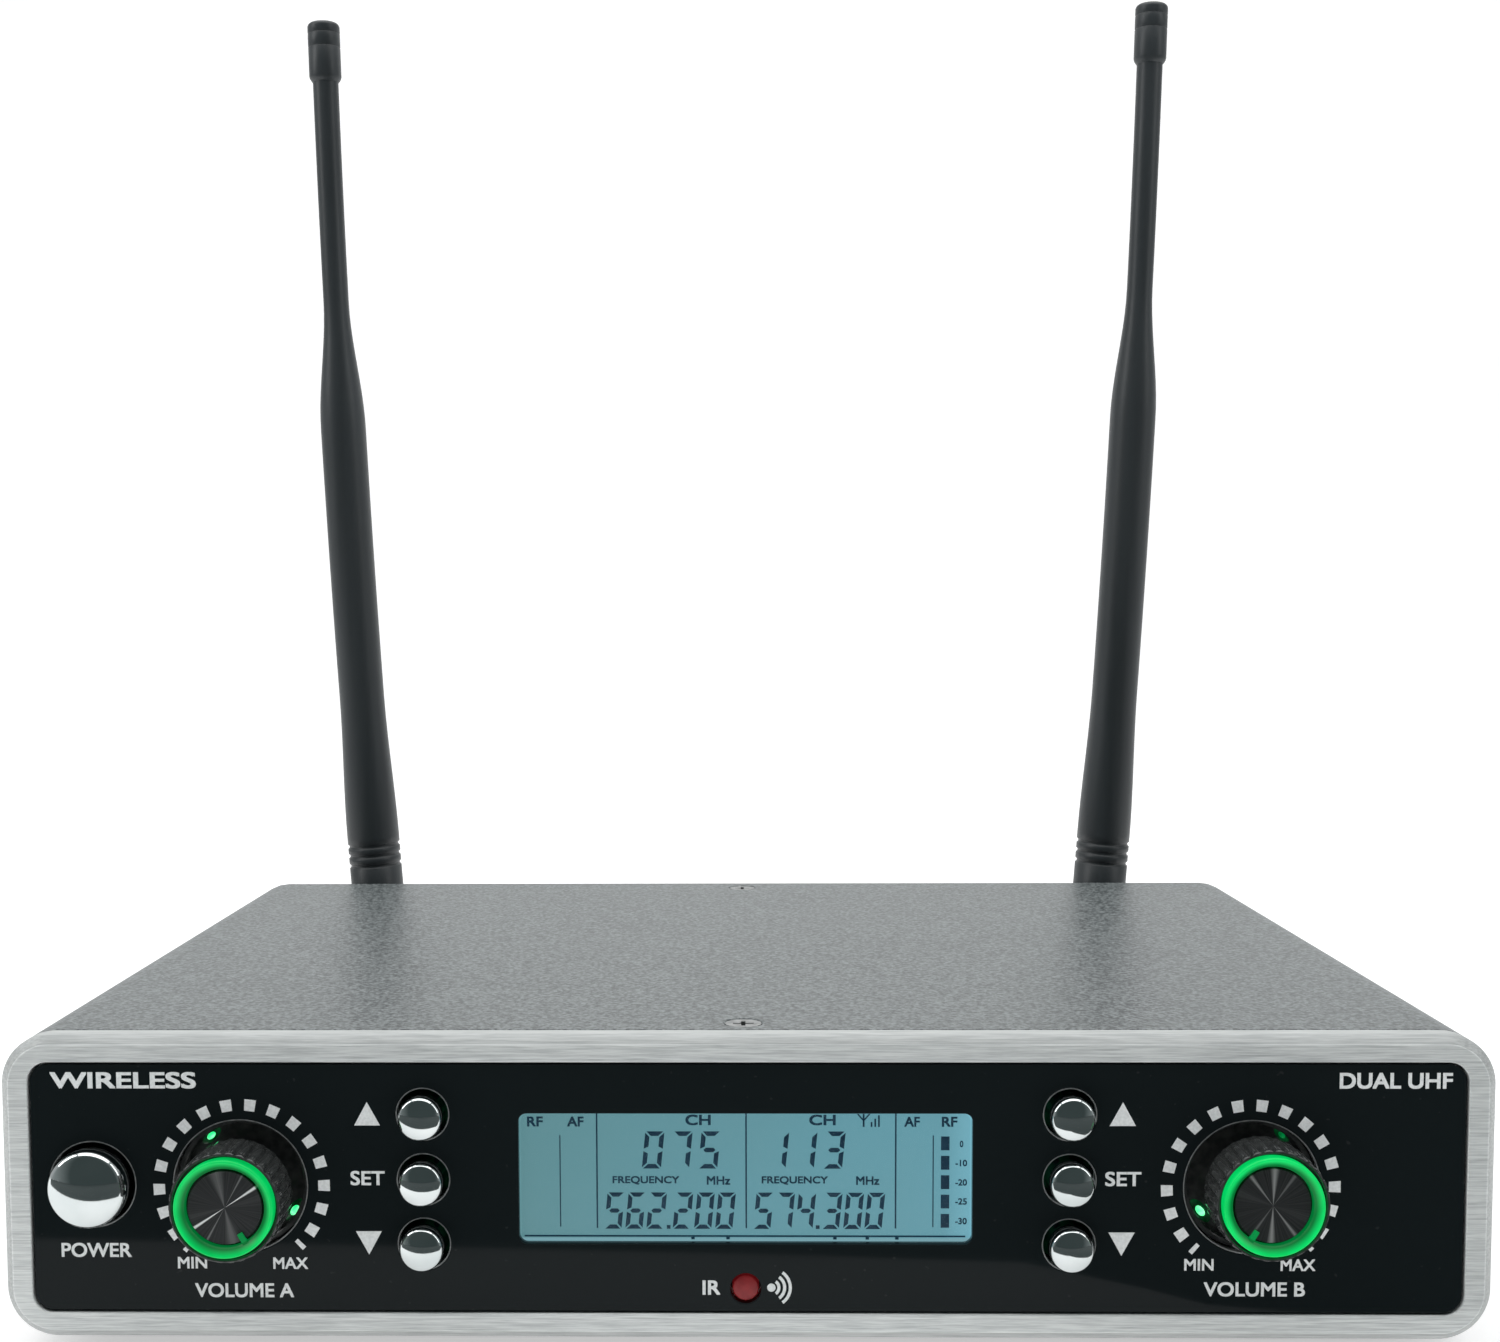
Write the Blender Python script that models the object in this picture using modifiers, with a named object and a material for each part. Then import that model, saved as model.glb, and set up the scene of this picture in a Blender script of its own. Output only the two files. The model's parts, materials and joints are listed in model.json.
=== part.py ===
"""Two-channel wireless receiver in a half-rack case, one object for each of its pieces.

Frame: metres, +X to the right of a person facing the front panel, +Y to the back, +Z up.
The origin is on the standing surface, under the middle of the object's bounding box.
A depth is measured back from the front panel's front plane, and a height up from its lower edge.
"""

import math

import bmesh
import bpy
from mathutils import Matrix, Vector

# General
GAP = 0.0003
SHARP_ANGLE = math.radians(35)
TOWARDS_FRONT = (math.pi / 2, 0.0, 0.0)
TOWARDS_BACK = (-math.pi / 2, 0.0, 0.0)
ALONG_X = (0.0, math.pi / 2, 0.0)

# Case
CASE_WIDTH = 0.212
CASE_HEIGHT = 0.0441
CASE_DEPTH = 0.1506
CASE_CORNER = 0.0073
SHEET = 0.0012
COVER_LOW_EDGE = 0.0084
FOOT_RADIUS = 0.0062
FOOT_HEIGHT = 0.0027
FOOT_X = 0.086
FOOT_DEPTHS = (0.018, 0.134)
COVER_SCREW_DEPTHS = {"front": 0.0088, "rear": 0.1441}
SCREW_HEAD_RADIUS = 0.00275
SCREW_SHANK_RADIUS = 0.00125
SCREW_LENGTH = 0.0072

# Front panel, with its acrylic insert
PANEL_THICKNESS = 0.0038
PANEL_CHAMFER = 0.00127
POCKET_SIZE = (0.20385, 0.0364)
POCKET_CORNER = 0.0029
POCKET_DEPTH = 0.0022
POCKET_HEIGHT = 0.02206
INSERT_FRONT = 0.0003
INSERT_THICKNESS = 0.0016
CHASSIS_WALL_FRONT = 0.0044
CHASSIS_WALL_THICKNESS = 0.0010

# Display and infrared window
WINDOW_SIZE = (0.0644, 0.0189)
WINDOW_CORNER = 0.0012
WINDOW_CENTRE = (0.0002, 0.02337)
MODULE_SIZE = (0.068, 0.0230)
MODULE_THICKNESS = 0.0078
INFRARED_CENTRE = (0.00025, 0.0075)
INFRARED_RADIUS = 0.00190

# Boards inside
BOARD_THICKNESS = 0.0016
CONTROL_BOARD_DEPTH = 0.0180
CONTROL_BOARD_SIZE = (0.196, 0.034)
MAIN_BOARD_SIZE = (0.190, 0.108)
MAIN_BOARD_DEPTH = 0.024
MAIN_BOARD_HEIGHT = 0.007
RADIO_SIZE = (0.036, 0.054, 0.008)
RADIO_X = 0.068
RADIO_DEPTH = 0.102

# Volume knobs
KNOB_CENTRES = {"a": (-0.07165, 0.0220), "b": (0.0723, 0.0225)}
KNOB_POINTERS = {"a": math.radians(150), "b": math.radians(-148)}
KNOB_RADIUS = 0.0079
KNOB_REACH = 0.0103
WELL_X = 0.0718
WELL_HEIGHT = 0.02227
WELL_RADIUS = 0.0097
RING_OUTER = 0.0070
RING_INNER = 0.0055
SHAFT_RADIUS = 0.0030

# Buttons
BUTTON_TILT = math.radians(28)
BUTTON_SHOULDER = 0.86
POWER_CENTRE = (-0.0930, 0.0225)
POWER_RADIUS = 0.00565
POWER_EDGE = 0.0022
POWER_HOLE = 0.0063
POWER_TRAVEL = 0.0020
KEY_COLUMNS = {"a": -0.0456, "b": 0.0461}
KEY_HEIGHTS = {"up": 0.0327, "set": 0.02325, "down": 0.0139}
KEY_RADIUS = 0.00312
KEY_EDGE = 0.0025
KEY_HOLE = 0.00383
TACT_SIZE = 0.006

# Rear panel and its connectors
REAR_PANEL_DEPTH = 0.1486
REAR_FACE_DEPTH = REAR_PANEL_DEPTH + SHEET
CONNECTOR_HEIGHT = 0.0220
XLR_X = 0.040
XLR_FLANGE = (0.026, 0.031)
DC_X = -0.014
LINE_X = 0.014

# Antennas: a jack, a swivelling fork, a hinge pin and a whip with a cap
ANTENNA_BACK = 0.163
ANTENNAS = {
    "a": {"x": -0.0804, "height": 0.0240, "lean": math.radians(-4.37), "stretch": 1.0067},
    "b": {"x": 0.07815, "height": 0.0240, "lean": math.radians(4.52), "stretch": 1.0186},
}
FORK_RADIUS = 0.0055
FORK_SLOT = 0.0054
TONGUE_THICKNESS = 0.0048
HINGE_PIN_RADIUS = 0.0015
WHIP_BOW = 0.135
WHIP_START = 0.0072
WHIP_END = 0.1982
CAP_START = 0.1929
CAP_END = 0.2055
CAP_RADIUS = 0.00348
WHIP_FOOT_RADIUS = 0.00575
WHIP_MIDDLE_RADIUS = 0.0049
WHIP_TIP_RADIUS = 0.00275

# The box around everything runs from the knob rings to the backs of the antennas.
FRONT_Y = -(ANTENNA_BACK + WHIP_FOOT_RADIUS + INSERT_FRONT - KNOB_REACH) / 2
BODY_Z = FOOT_HEIGHT + GAP


def clear_scene():
    for obj in list(bpy.data.objects):
        bpy.data.objects.remove(obj, do_unlink=True)


def make_collection(name):
    collection = bpy.data.collections.new(name)
    bpy.context.scene.collection.children.link(collection)
    return collection


clear_scene()
PARTS = make_collection("wireless_receiver")
CUTTERS = make_collection("cutters")


def at(x, depth, height):
    """The world position of a place given by its depth and height on the case."""
    return Vector((x, FRONT_Y + depth, BODY_Z + height))


# Materials


def principled(name, colour, roughness, metallic=0.0, glow=None):
    material = bpy.data.materials.new(name)
    material.use_nodes = True
    shader = material.node_tree.nodes["Principled BSDF"]
    shader.inputs["Base Color"].default_value = (*colour, 1.0)
    shader.inputs["Roughness"].default_value = roughness
    shader.inputs["Metallic"].default_value = metallic
    if glow:
        shader.inputs["Emission Color"].default_value = (*glow, 1.0)
        shader.inputs["Emission Strength"].default_value = 1.0
    return material


ALUMINIUM = principled("brushed_aluminium", (0.72, 0.73, 0.74), 0.30, 1.0)
CHARCOAL_PAINT = principled("charcoal_powder_coat", (0.16, 0.17, 0.17), 0.55)
BLACK_PAINT = principled("black_paint", (0.03, 0.03, 0.03), 0.50)
ACRYLIC = principled("black_acrylic", (0.010, 0.011, 0.012), 0.08)
CLEAR_WINDOW = principled("display_window", (0.75, 0.80, 0.82), 0.05)
DISPLAY = principled("display_module", (0.16, 0.38, 0.44), 0.30, 0.0, (0.10, 0.30, 0.36))
RED_WINDOW = principled("infrared_window", (0.22, 0.01, 0.01), 0.12)
CHROME = principled("chrome", (0.80, 0.80, 0.80), 0.04, 1.0)
KNOB_PLASTIC = principled("knob_plastic", (0.015, 0.015, 0.015), 0.22)
GREEN_LIGHT = principled("green_light", (0.02, 0.75, 0.22), 0.30, 0.0, (0.02, 0.80, 0.25))
DARK_METAL = principled("dark_anodised_metal", (0.04, 0.04, 0.045), 0.30, 1.0)
STEEL = principled("steel", (0.60, 0.60, 0.60), 0.30, 1.0)
NICKEL = principled("nickel", (0.70, 0.69, 0.66), 0.22, 1.0)
RUBBER = principled("antenna_rubber", (0.025, 0.028, 0.030), 0.45)
BLACK_PLASTIC = principled("black_plastic", (0.02, 0.02, 0.02), 0.40)
CIRCUIT_BOARD = principled("circuit_board", (0.02, 0.14, 0.06), 0.40)
RIBBON = principled("ribbon_insulation", (0.45, 0.45, 0.43), 0.55)
FOOT_RUBBER = principled("foot_rubber", (0.02, 0.02, 0.02), 0.80)


# Shapes


def add_object(name, mesh, material, location, rotation=(0, 0, 0), parent=None):
    """A part if it has a material, else a cutter or an addition used by Booleans."""
    obj = bpy.data.objects.new(name, mesh)
    obj.location = location
    obj.rotation_euler = rotation
    obj.parent = parent
    if material:
        mesh.materials.append(material)
        PARTS.objects.link(obj)
    else:
        obj.hide_render = True
        obj.display_type = "WIRE"
        CUTTERS.objects.link(obj)
    return obj


def add_pivot(name, location, rotation=(0, 0, 0), parent=None):
    pivot = bpy.data.objects.new(name, None)
    pivot.empty_display_size = 0.01
    pivot.location = location
    pivot.rotation_euler = rotation
    pivot.parent = parent
    PARTS.objects.link(pivot)
    return pivot


def smooth_by_angle(mesh):
    mesh.shade_smooth()
    mesh.set_sharp_from_angle(angle=SHARP_ANGLE)


def finish_mesh(name, builder):
    mesh = bpy.data.meshes.new(name)
    builder.to_mesh(mesh)
    builder.free()
    smooth_by_angle(mesh)
    return mesh


def evaluated_mesh(obj):
    depsgraph = bpy.context.evaluated_depsgraph_get()
    mesh = bpy.data.meshes.new_from_object(obj.evaluated_get(depsgraph))
    mesh.name = obj.name
    return mesh


def runs_along_y(edge):
    first, second = edge.verts
    return abs(first.co.y - second.co.y) > abs(first.co.x - second.co.x) + abs(first.co.z - second.co.z)


def rounded_block(size, radius=0.0, sides=(1, -1), segments=5, front_chamfer=0.0):
    """A block whose edges along Y are rounded, at the top (1), the bottom (-1) or both."""
    builder = bmesh.new()
    bmesh.ops.create_cube(builder, size=1.0, matrix=Matrix.Diagonal((*size, 1.0)))
    if radius:
        rounded = [
            edge
            for edge in builder.edges
            if runs_along_y(edge) and any(edge.verts[0].co.z * side > 0 for side in sides)
        ]
        bmesh.ops.bevel(
            builder, geom=rounded, offset=radius, segments=segments, profile=0.5, affect="EDGES"
        )
    if front_chamfer:
        front = min(builder.faces, key=lambda face: face.calc_center_median().y)
        bmesh.ops.bevel(
            builder, geom=list(front.edges), offset=front_chamfer, segments=1, affect="EDGES"
        )
    return builder


def block(name, material, size, location, radius=0.0, parent=None, **options):
    builder = rounded_block(size, radius, **options)
    return add_object(name, finish_mesh(name, builder), material, location, parent=parent)


def cylinder(name, material, radius, length, location, rotation=TOWARDS_FRONT, parent=None, segments=16):
    builder = bmesh.new()
    bmesh.ops.create_cone(
        builder, cap_ends=True, segments=segments, radius1=radius, radius2=radius, depth=length
    )
    mesh = finish_mesh(name, builder)
    return add_object(name, mesh, material, location, rotation, parent)


def turned(name, material, outline, location, rotation=(0, 0, 0), parent=None, steps=20):
    """Spins an outline of (radius, height) points about local Z; it runs down the outer side."""
    points = [(radius, 0.0, height) for radius, height in outline]
    edges = [(index, index + 1) for index in range(len(points) - 1)]
    if outline[0][0] > 0:
        edges.append((len(points) - 1, 0))
    profile = bpy.data.meshes.new(name)
    profile.from_pydata(points, edges, [])
    obj = add_object(name, profile, None, location, rotation, parent)
    screw = obj.modifiers.new("Turn", "SCREW")
    screw.steps = steps
    screw.render_steps = steps
    screw.use_merge_vertices = True
    screw.merge_threshold = 0.00001
    mesh = evaluated_mesh(obj)
    smooth_by_angle(mesh)
    bpy.data.objects.remove(obj)
    return add_object(name, mesh, material, location, rotation, parent)


def button_face(radius, edge):
    """Points down a shallow dome that rolls over at its rim, from its crown on the axis."""
    shoulder = BUTTON_SHOULDER * radius
    roll = (radius - shoulder) / (1 - math.sin(BUTTON_TILT))
    level = edge + roll * math.cos(BUTTON_TILT)
    rise = math.tan(BUTTON_TILT) * shoulder / 2
    shallow = [(shoulder * share, level + rise * (1 - share**2)) for share in (0, 0.4, 0.75)]
    angles = [BUTTON_TILT + (math.pi / 2 - BUTTON_TILT) * index / 3 for index in range(4)]
    return shallow + [
        (radius - roll * (1 - math.sin(angle)), edge + roll * math.cos(angle)) for angle in angles
    ]


def dome(radius, base, rise, count=4):
    """Points down a quarter ellipse, from its crown on the axis to its edge."""
    angles = [math.pi / 2 * index / count for index in range(count + 1)]
    return [(radius * math.sin(angle), base + rise * math.cos(angle)) for angle in angles]


def boolean(target, other, operation):
    modifier = target.modifiers.new(other.name, "BOOLEAN")
    modifier.operation = operation
    modifier.object = other


def cut(target, *cutters):
    for cutter in cutters:
        boolean(target, cutter, "DIFFERENCE")


def join(target, *additions):
    for addition in additions:
        boolean(target, addition, "UNION")


def smooth_step(value, start, end):
    """0 before start, 1 after end, and an S-shaped ramp between them."""
    share = min(max((value - start) / (end - start), 0.0), 1.0)
    return share * share * (3 - 2 * share)


# Holes that the panel, its insert and the chassis wall share


def front_hole(name, centre, radius, segments=16):
    x, height = centre
    return cylinder(name, None, radius, 0.020, at(x, 0.004, height), segments=segments)


def key_centres():
    """The label and the centre of each of the six small buttons."""
    for channel, x in KEY_COLUMNS.items():
        for action, height in KEY_HEIGHTS.items():
            yield f"{channel}_{action}", (x, height)


def well_centres():
    return (("a", (-WELL_X, WELL_HEIGHT)), ("b", (WELL_X, WELL_HEIGHT)))


def make_front_holes():
    holes = [front_hole("power_hole", POWER_CENTRE, POWER_HOLE, 24)]
    holes.append(front_hole("infrared_hole", INFRARED_CENTRE, INFRARED_RADIUS + GAP, 12))
    holes += [front_hole(f"key_hole_{label}", centre, KEY_HOLE) for label, centre in key_centres()]
    holes += [front_hole(f"knob_hole_{label}", centre, WELL_RADIUS, 28) for label, centre in well_centres()]
    return holes


def window_cutter(name, size, radius, depth, thickness):
    x, height = WINDOW_CENTRE
    return block(name, None, (size[0], thickness, size[1]), at(x, depth, height), radius, segments=3)


# Case pieces


def make_front_panel(holes):
    size = (CASE_WIDTH, PANEL_THICKNESS, CASE_HEIGHT)
    centre = at(0, PANEL_THICKNESS / 2, CASE_HEIGHT / 2)
    panel = block(
        "front_panel", ALUMINIUM, size, centre, CASE_CORNER, segments=6, front_chamfer=PANEL_CHAMFER
    )
    pocket_size = (POCKET_SIZE[0], 2 * POCKET_DEPTH, POCKET_SIZE[1])
    pocket = block("pocket", None, pocket_size, at(0, 0, POCKET_HEIGHT), POCKET_CORNER)
    module_opening = [side + 3 * GAP for side in MODULE_SIZE]
    cut(panel, pocket, window_cutter("module_opening", module_opening, 0.001, 0.004, 0.010), *holes)


def make_front_insert(holes):
    size = (POCKET_SIZE[0] - 2 * GAP, INSERT_THICKNESS, POCKET_SIZE[1] - 2 * GAP)
    centre = at(0, INSERT_FRONT + INSERT_THICKNESS / 2, POCKET_HEIGHT)
    insert = block("front_insert", ACRYLIC, size, centre, POCKET_CORNER - GAP)
    cut(insert, window_cutter("window_opening", WINDOW_SIZE, WINDOW_CORNER, 0.001, 0.010), *holes)


def make_chassis(holes):
    """The lower tray: a U with round corners, an upright wall at the front, and the wall's lip."""
    tray_length = CASE_DEPTH - PANEL_THICKNESS - GAP
    tray_height = COVER_LOW_EDGE - GAP
    builder = rounded_block((CASE_WIDTH, tray_length, tray_height), CASE_CORNER, sides=(-1,), segments=6)
    open_faces = [face for face in builder.faces if abs(face.normal.y) > 0.9 or face.normal.z > 0.9]
    bmesh.ops.delete(builder, geom=open_faces, context="FACES")
    mesh = finish_mesh("chassis_tray", builder)
    centre = at(0, PANEL_THICKNESS + GAP + tray_length / 2, tray_height / 2)
    tray = add_object("chassis_tray", mesh, BLACK_PAINT, centre)
    shell = tray.modifiers.new("Sheet", "SOLIDIFY")
    shell.thickness = SHEET
    shell.offset = -1
    shell.use_even_offset = True

    wall_low = SHEET / 2
    wall_high = CASE_HEIGHT - SHEET - GAP
    wall_size = (CASE_WIDTH - 2 * (SHEET + GAP), CHASSIS_WALL_THICKNESS, wall_high - wall_low)
    wall_depth = CHASSIS_WALL_FRONT + CHASSIS_WALL_THICKNESS / 2
    wall = block("chassis_wall", None, wall_size, at(0, wall_depth, (wall_low + wall_high) / 2), 0.0060)
    lip_size = (0.024, 0.0086, SHEET)
    lip_centre = at(0, CHASSIS_WALL_FRONT + lip_size[1] / 2, wall_high - SHEET / 2)
    lip = block("chassis_lip", None, lip_size, lip_centre)
    join(tray, wall, lip)
    module_opening = [side + 3 * GAP for side in MODULE_SIZE]
    cut(tray, window_cutter("chassis_opening", module_opening, 0.001, 0.006, 0.006), *holes)
    cut(tray, lip_hole("front", COVER_SCREW_DEPTHS["front"]))


def lip_hole(label, depth):
    centre = at(0, depth, CASE_HEIGHT - 0.003)
    return cylinder(f"lip_hole_{label}", None, SCREW_SHANK_RADIUS + GAP, 0.004, centre, (0, 0, 0))


def make_top_cover():
    """An inverted U of sheet steel whose bends match the front panel's corners."""
    length = CASE_DEPTH - PANEL_THICKNESS - GAP
    height = CASE_HEIGHT - COVER_LOW_EDGE
    builder = rounded_block((CASE_WIDTH, length, height), CASE_CORNER, sides=(1,), segments=6)
    open_faces = [face for face in builder.faces if abs(face.normal.y) > 0.9 or face.normal.z < -0.9]
    bmesh.ops.delete(builder, geom=open_faces, context="FACES")
    centre = at(0, PANEL_THICKNESS + GAP + length / 2, (CASE_HEIGHT + COVER_LOW_EDGE) / 2)
    cover = add_object("top_cover", finish_mesh("top_cover", builder), CHARCOAL_PAINT, centre)
    shell = cover.modifiers.new("Sheet", "SOLIDIFY")
    shell.thickness = SHEET
    shell.offset = -1
    shell.use_even_offset = True
    for label, depth in COVER_SCREW_DEPTHS.items():
        rim = SCREW_HEAD_RADIUS + GAP
        foot = SCREW_SHANK_RADIUS + GAP
        outline = [(0, 0.001), (rim, 0.001), (rim, 0), (foot, foot - rim), (foot, -0.003), (0, -0.003)]
        cut(cover, turned(f"countersink_{label}", None, outline, at(0, depth, CASE_HEIGHT), steps=16))


def make_cover_screws():
    """Countersunk cross-head screws; each recess is cut by two crossed blades."""
    head, shank = SCREW_HEAD_RADIUS, SCREW_SHANK_RADIUS
    outline = [(0, 0), (head, 0), (shank, shank - head), (shank, -SCREW_LENGTH), (0, -SCREW_LENGTH)]
    for label, depth in COVER_SCREW_DEPTHS.items():
        location = at(0, depth, CASE_HEIGHT - 0.0001)
        screw = turned(f"cover_screw_{label}", STEEL, outline, location, steps=16)
        for index, size in enumerate(((0.0030, 0.0006, 0.0016), (0.0006, 0.0030, 0.0016))):
            cut(screw, block(f"recess_{label}_{index}", None, size, location))


def make_rear_panel():
    low = SHEET + GAP
    high = CASE_HEIGHT - SHEET - GAP
    size = (CASE_WIDTH - 2 * (SHEET + GAP), SHEET, high - low)
    centre = at(0, REAR_PANEL_DEPTH + SHEET / 2, (low + high) / 2)
    panel = block("rear_panel", BLACK_PAINT, size, centre, CASE_CORNER - SHEET - GAP)
    lip_size = (0.024, 0.0096, SHEET)
    lip_centre = at(0, REAR_FACE_DEPTH - lip_size[1] / 2, high - SHEET / 2)
    join(panel, block("rear_lip", None, lip_size, lip_centre))
    holes = [rear_hole(f"xlr_{side}", side * XLR_X, CONNECTOR_HEIGHT, 0.0115) for side in (-1, 1)]
    holes.append(rear_hole("line", LINE_X, CONNECTOR_HEIGHT, 0.0058))
    holes.append(rear_hole("dc", DC_X, CONNECTOR_HEIGHT, 0.0057))
    holes += [
        rear_hole(f"antenna_{label}", place["x"], place["height"], 0.0051)
        for label, place in ANTENNAS.items()
    ]
    cut(panel, *holes, lip_hole("rear", COVER_SCREW_DEPTHS["rear"]))


def rear_hole(label, x, height, radius):
    return cylinder(f"rear_hole_{label}", None, radius, 0.004, at(x, REAR_PANEL_DEPTH, height))


def make_feet():
    top = FOOT_HEIGHT
    outline = [(0, top), (FOOT_RADIUS, top), (FOOT_RADIUS, 0.0012), (FOOT_RADIUS - 0.0008, 0), (0, 0)]
    names = ("front", "rear")
    for name, depth in zip(names, FOOT_DEPTHS):
        for side, x in (("left", -FOOT_X), ("right", FOOT_X)):
            location = at(x, depth, -FOOT_HEIGHT - GAP)
            turned(f"foot_{name}_{side}", FOOT_RUBBER, outline, location)


# Display, boards and the parts on them


def make_display():
    x, height = WINDOW_CENTRE
    size = (WINDOW_SIZE[0] - 2 * GAP, INSERT_THICKNESS, WINDOW_SIZE[1] - 2 * GAP)
    centre = at(x, INSERT_FRONT + INSERT_THICKNESS / 2, height)
    block("display_window", CLEAR_WINDOW, size, centre, WINDOW_CORNER - GAP, segments=3)
    module_front = INSERT_FRONT + INSERT_THICKNESS + GAP
    size = (MODULE_SIZE[0], MODULE_THICKNESS, MODULE_SIZE[1])
    block("display_module", DISPLAY, size, at(x, module_front + MODULE_THICKNESS / 2, height))


def make_infrared_window():
    outline = dome(INFRARED_RADIUS, -0.0003, 0.0003, 2)
    outline += [(INFRARED_RADIUS, -0.0034), (0, -0.0034)]
    x, height = INFRARED_CENTRE
    location = at(x, INSERT_FRONT, height)
    turned("infrared_window", RED_WINDOW, outline, location, TOWARDS_FRONT, steps=12)


def make_boards():
    width, height = CONTROL_BOARD_SIZE
    centre = at(0, CONTROL_BOARD_DEPTH + BOARD_THICKNESS / 2, CASE_HEIGHT / 2)
    block("control_board", CIRCUIT_BOARD, (width, BOARD_THICKNESS, height), centre)
    width, length = MAIN_BOARD_SIZE
    main_centre = at(0, MAIN_BOARD_DEPTH + length / 2, MAIN_BOARD_HEIGHT + BOARD_THICKNESS / 2)
    block("main_board", CIRCUIT_BOARD, (width, length, BOARD_THICKNESS), main_centre)
    radio_height = MAIN_BOARD_HEIGHT + BOARD_THICKNESS + GAP + RADIO_SIZE[2] / 2
    for label, x in (("a", -RADIO_X), ("b", RADIO_X)):
        location = at(x, RADIO_DEPTH, radio_height)
        block(f"radio_module_{label}", STEEL, RADIO_SIZE, location, 0.001, sides=(1,), segments=2)


def make_ribbon_cable():
    """A flat cable that drops in an S from the control board to the main board."""
    start = CONTROL_BOARD_DEPTH + BOARD_THICKNESS + GAP
    end = 0.046
    high = 0.016
    low = MAIN_BOARD_HEIGHT + BOARD_THICKNESS + GAP
    thickness = 0.0009
    steps = 12
    depths = [start + (end - start) * index / steps for index in range(steps + 1)]
    lower = [(depth, high + (low - high) * smooth_step(depth, start, end)) for depth in depths]
    upper = [(depth, height + thickness) for depth, height in reversed(lower)]
    curve = bpy.data.curves.new("ribbon_cable", "CURVE")
    curve.dimensions = "2D"
    curve.fill_mode = "BOTH"
    curve.extrude = 0.016
    spline = curve.splines.new("POLY")
    outline = lower + upper
    spline.points.add(len(outline) - 1)
    for point, (depth, height) in zip(spline.points, outline):
        point.co = (depth, height, 0, 1)
    spline.use_cyclic_u = True
    add_object("ribbon_cable", curve, RIBBON, at(0, 0, 0), (math.pi / 2, 0, math.pi / 2))


def make_potentiometer(label, centre):
    """The body with its front bushing; the knob's shaft turns in the bore."""
    x, height = centre
    size = (0.016, 0.0073, 0.013)
    front = CONTROL_BOARD_DEPTH - GAP - size[1]
    body = block(f"potentiometer_{label}", STEEL, size, at(x, front + size[1] / 2, height))
    bushing_front = 0.0064
    bushing_length = front - bushing_front + 0.001
    bushing_centre = at(x, bushing_front + bushing_length / 2, height)
    join(body, cylinder(f"bushing_{label}", None, 0.0045, bushing_length, bushing_centre))
    bore_centre = at(x, bushing_front + 0.003, height)
    cut(body, cylinder(f"bore_{label}", None, SHAFT_RADIUS + GAP, 0.014, bore_centre))


def make_light_well(label, centre):
    """The black cup behind the panel in which the green lamps shine around a knob."""
    x, height = centre
    outer = WELL_RADIUS - GAP
    inner = outer - 0.0007
    hole = SHAFT_RADIUS + 4 * GAP
    outline = [(inner, 0), (outer, 0), (outer, -0.0039), (hole, -0.0039), (hole, -0.0031), (inner, -0.0031)]
    location = at(x, POCKET_DEPTH, height)
    turned(f"light_well_{label}", BLACK_PLASTIC, outline, location, TOWARDS_FRONT, steps=24)


def make_power_switch():
    x, height = POWER_CENTRE
    front = 0.0069
    back = CONTROL_BOARD_DEPTH - GAP
    centre = at(x, (front + back) / 2, height)
    switch = block("power_switch", BLACK_PLASTIC, (0.012, back - front, 0.012), centre)
    cut(switch, cylinder("power_switch_bore", None, 0.0025, 0.012, at(x, front, height)))


def make_tact_switch(label, centre):
    x, height = centre
    length = 0.0035
    back = CONTROL_BOARD_DEPTH - GAP
    size = (TACT_SIZE, length, TACT_SIZE)
    switch = block(f"tact_switch_{label}", BLACK_PLASTIC, size, at(x, back - length / 2, height))
    bore_centre = at(x, back - length, height)
    cut(switch, cylinder(f"tact_bore_{label}", None, 0.0018, 0.005, bore_centre, segments=16))


# Moving pieces on the front


def make_power_button():
    """Turned about its own axis; it slides straight back by POWER_TRAVEL."""
    outline = button_face(POWER_RADIUS, POWER_EDGE)
    outline += [(POWER_RADIUS, -0.0030), (0.0021, -0.0030), (0.0021, -0.0096), (0, -0.0096)]
    x, height = POWER_CENTRE
    turned("power_button", CHROME, outline, at(x, INSERT_FRONT, height), TOWARDS_FRONT, steps=24)


def make_key(label, centre):
    outline = button_face(KEY_RADIUS, KEY_EDGE)
    outline += [(KEY_RADIUS, -0.0032), (0.0014, -0.0032), (0.0014, -0.0143), (0, -0.0143)]
    x, height = centre
    turned(f"button_{label}", CHROME, outline, at(x, INSERT_FRONT, height), TOWARDS_FRONT, steps=16)


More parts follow.
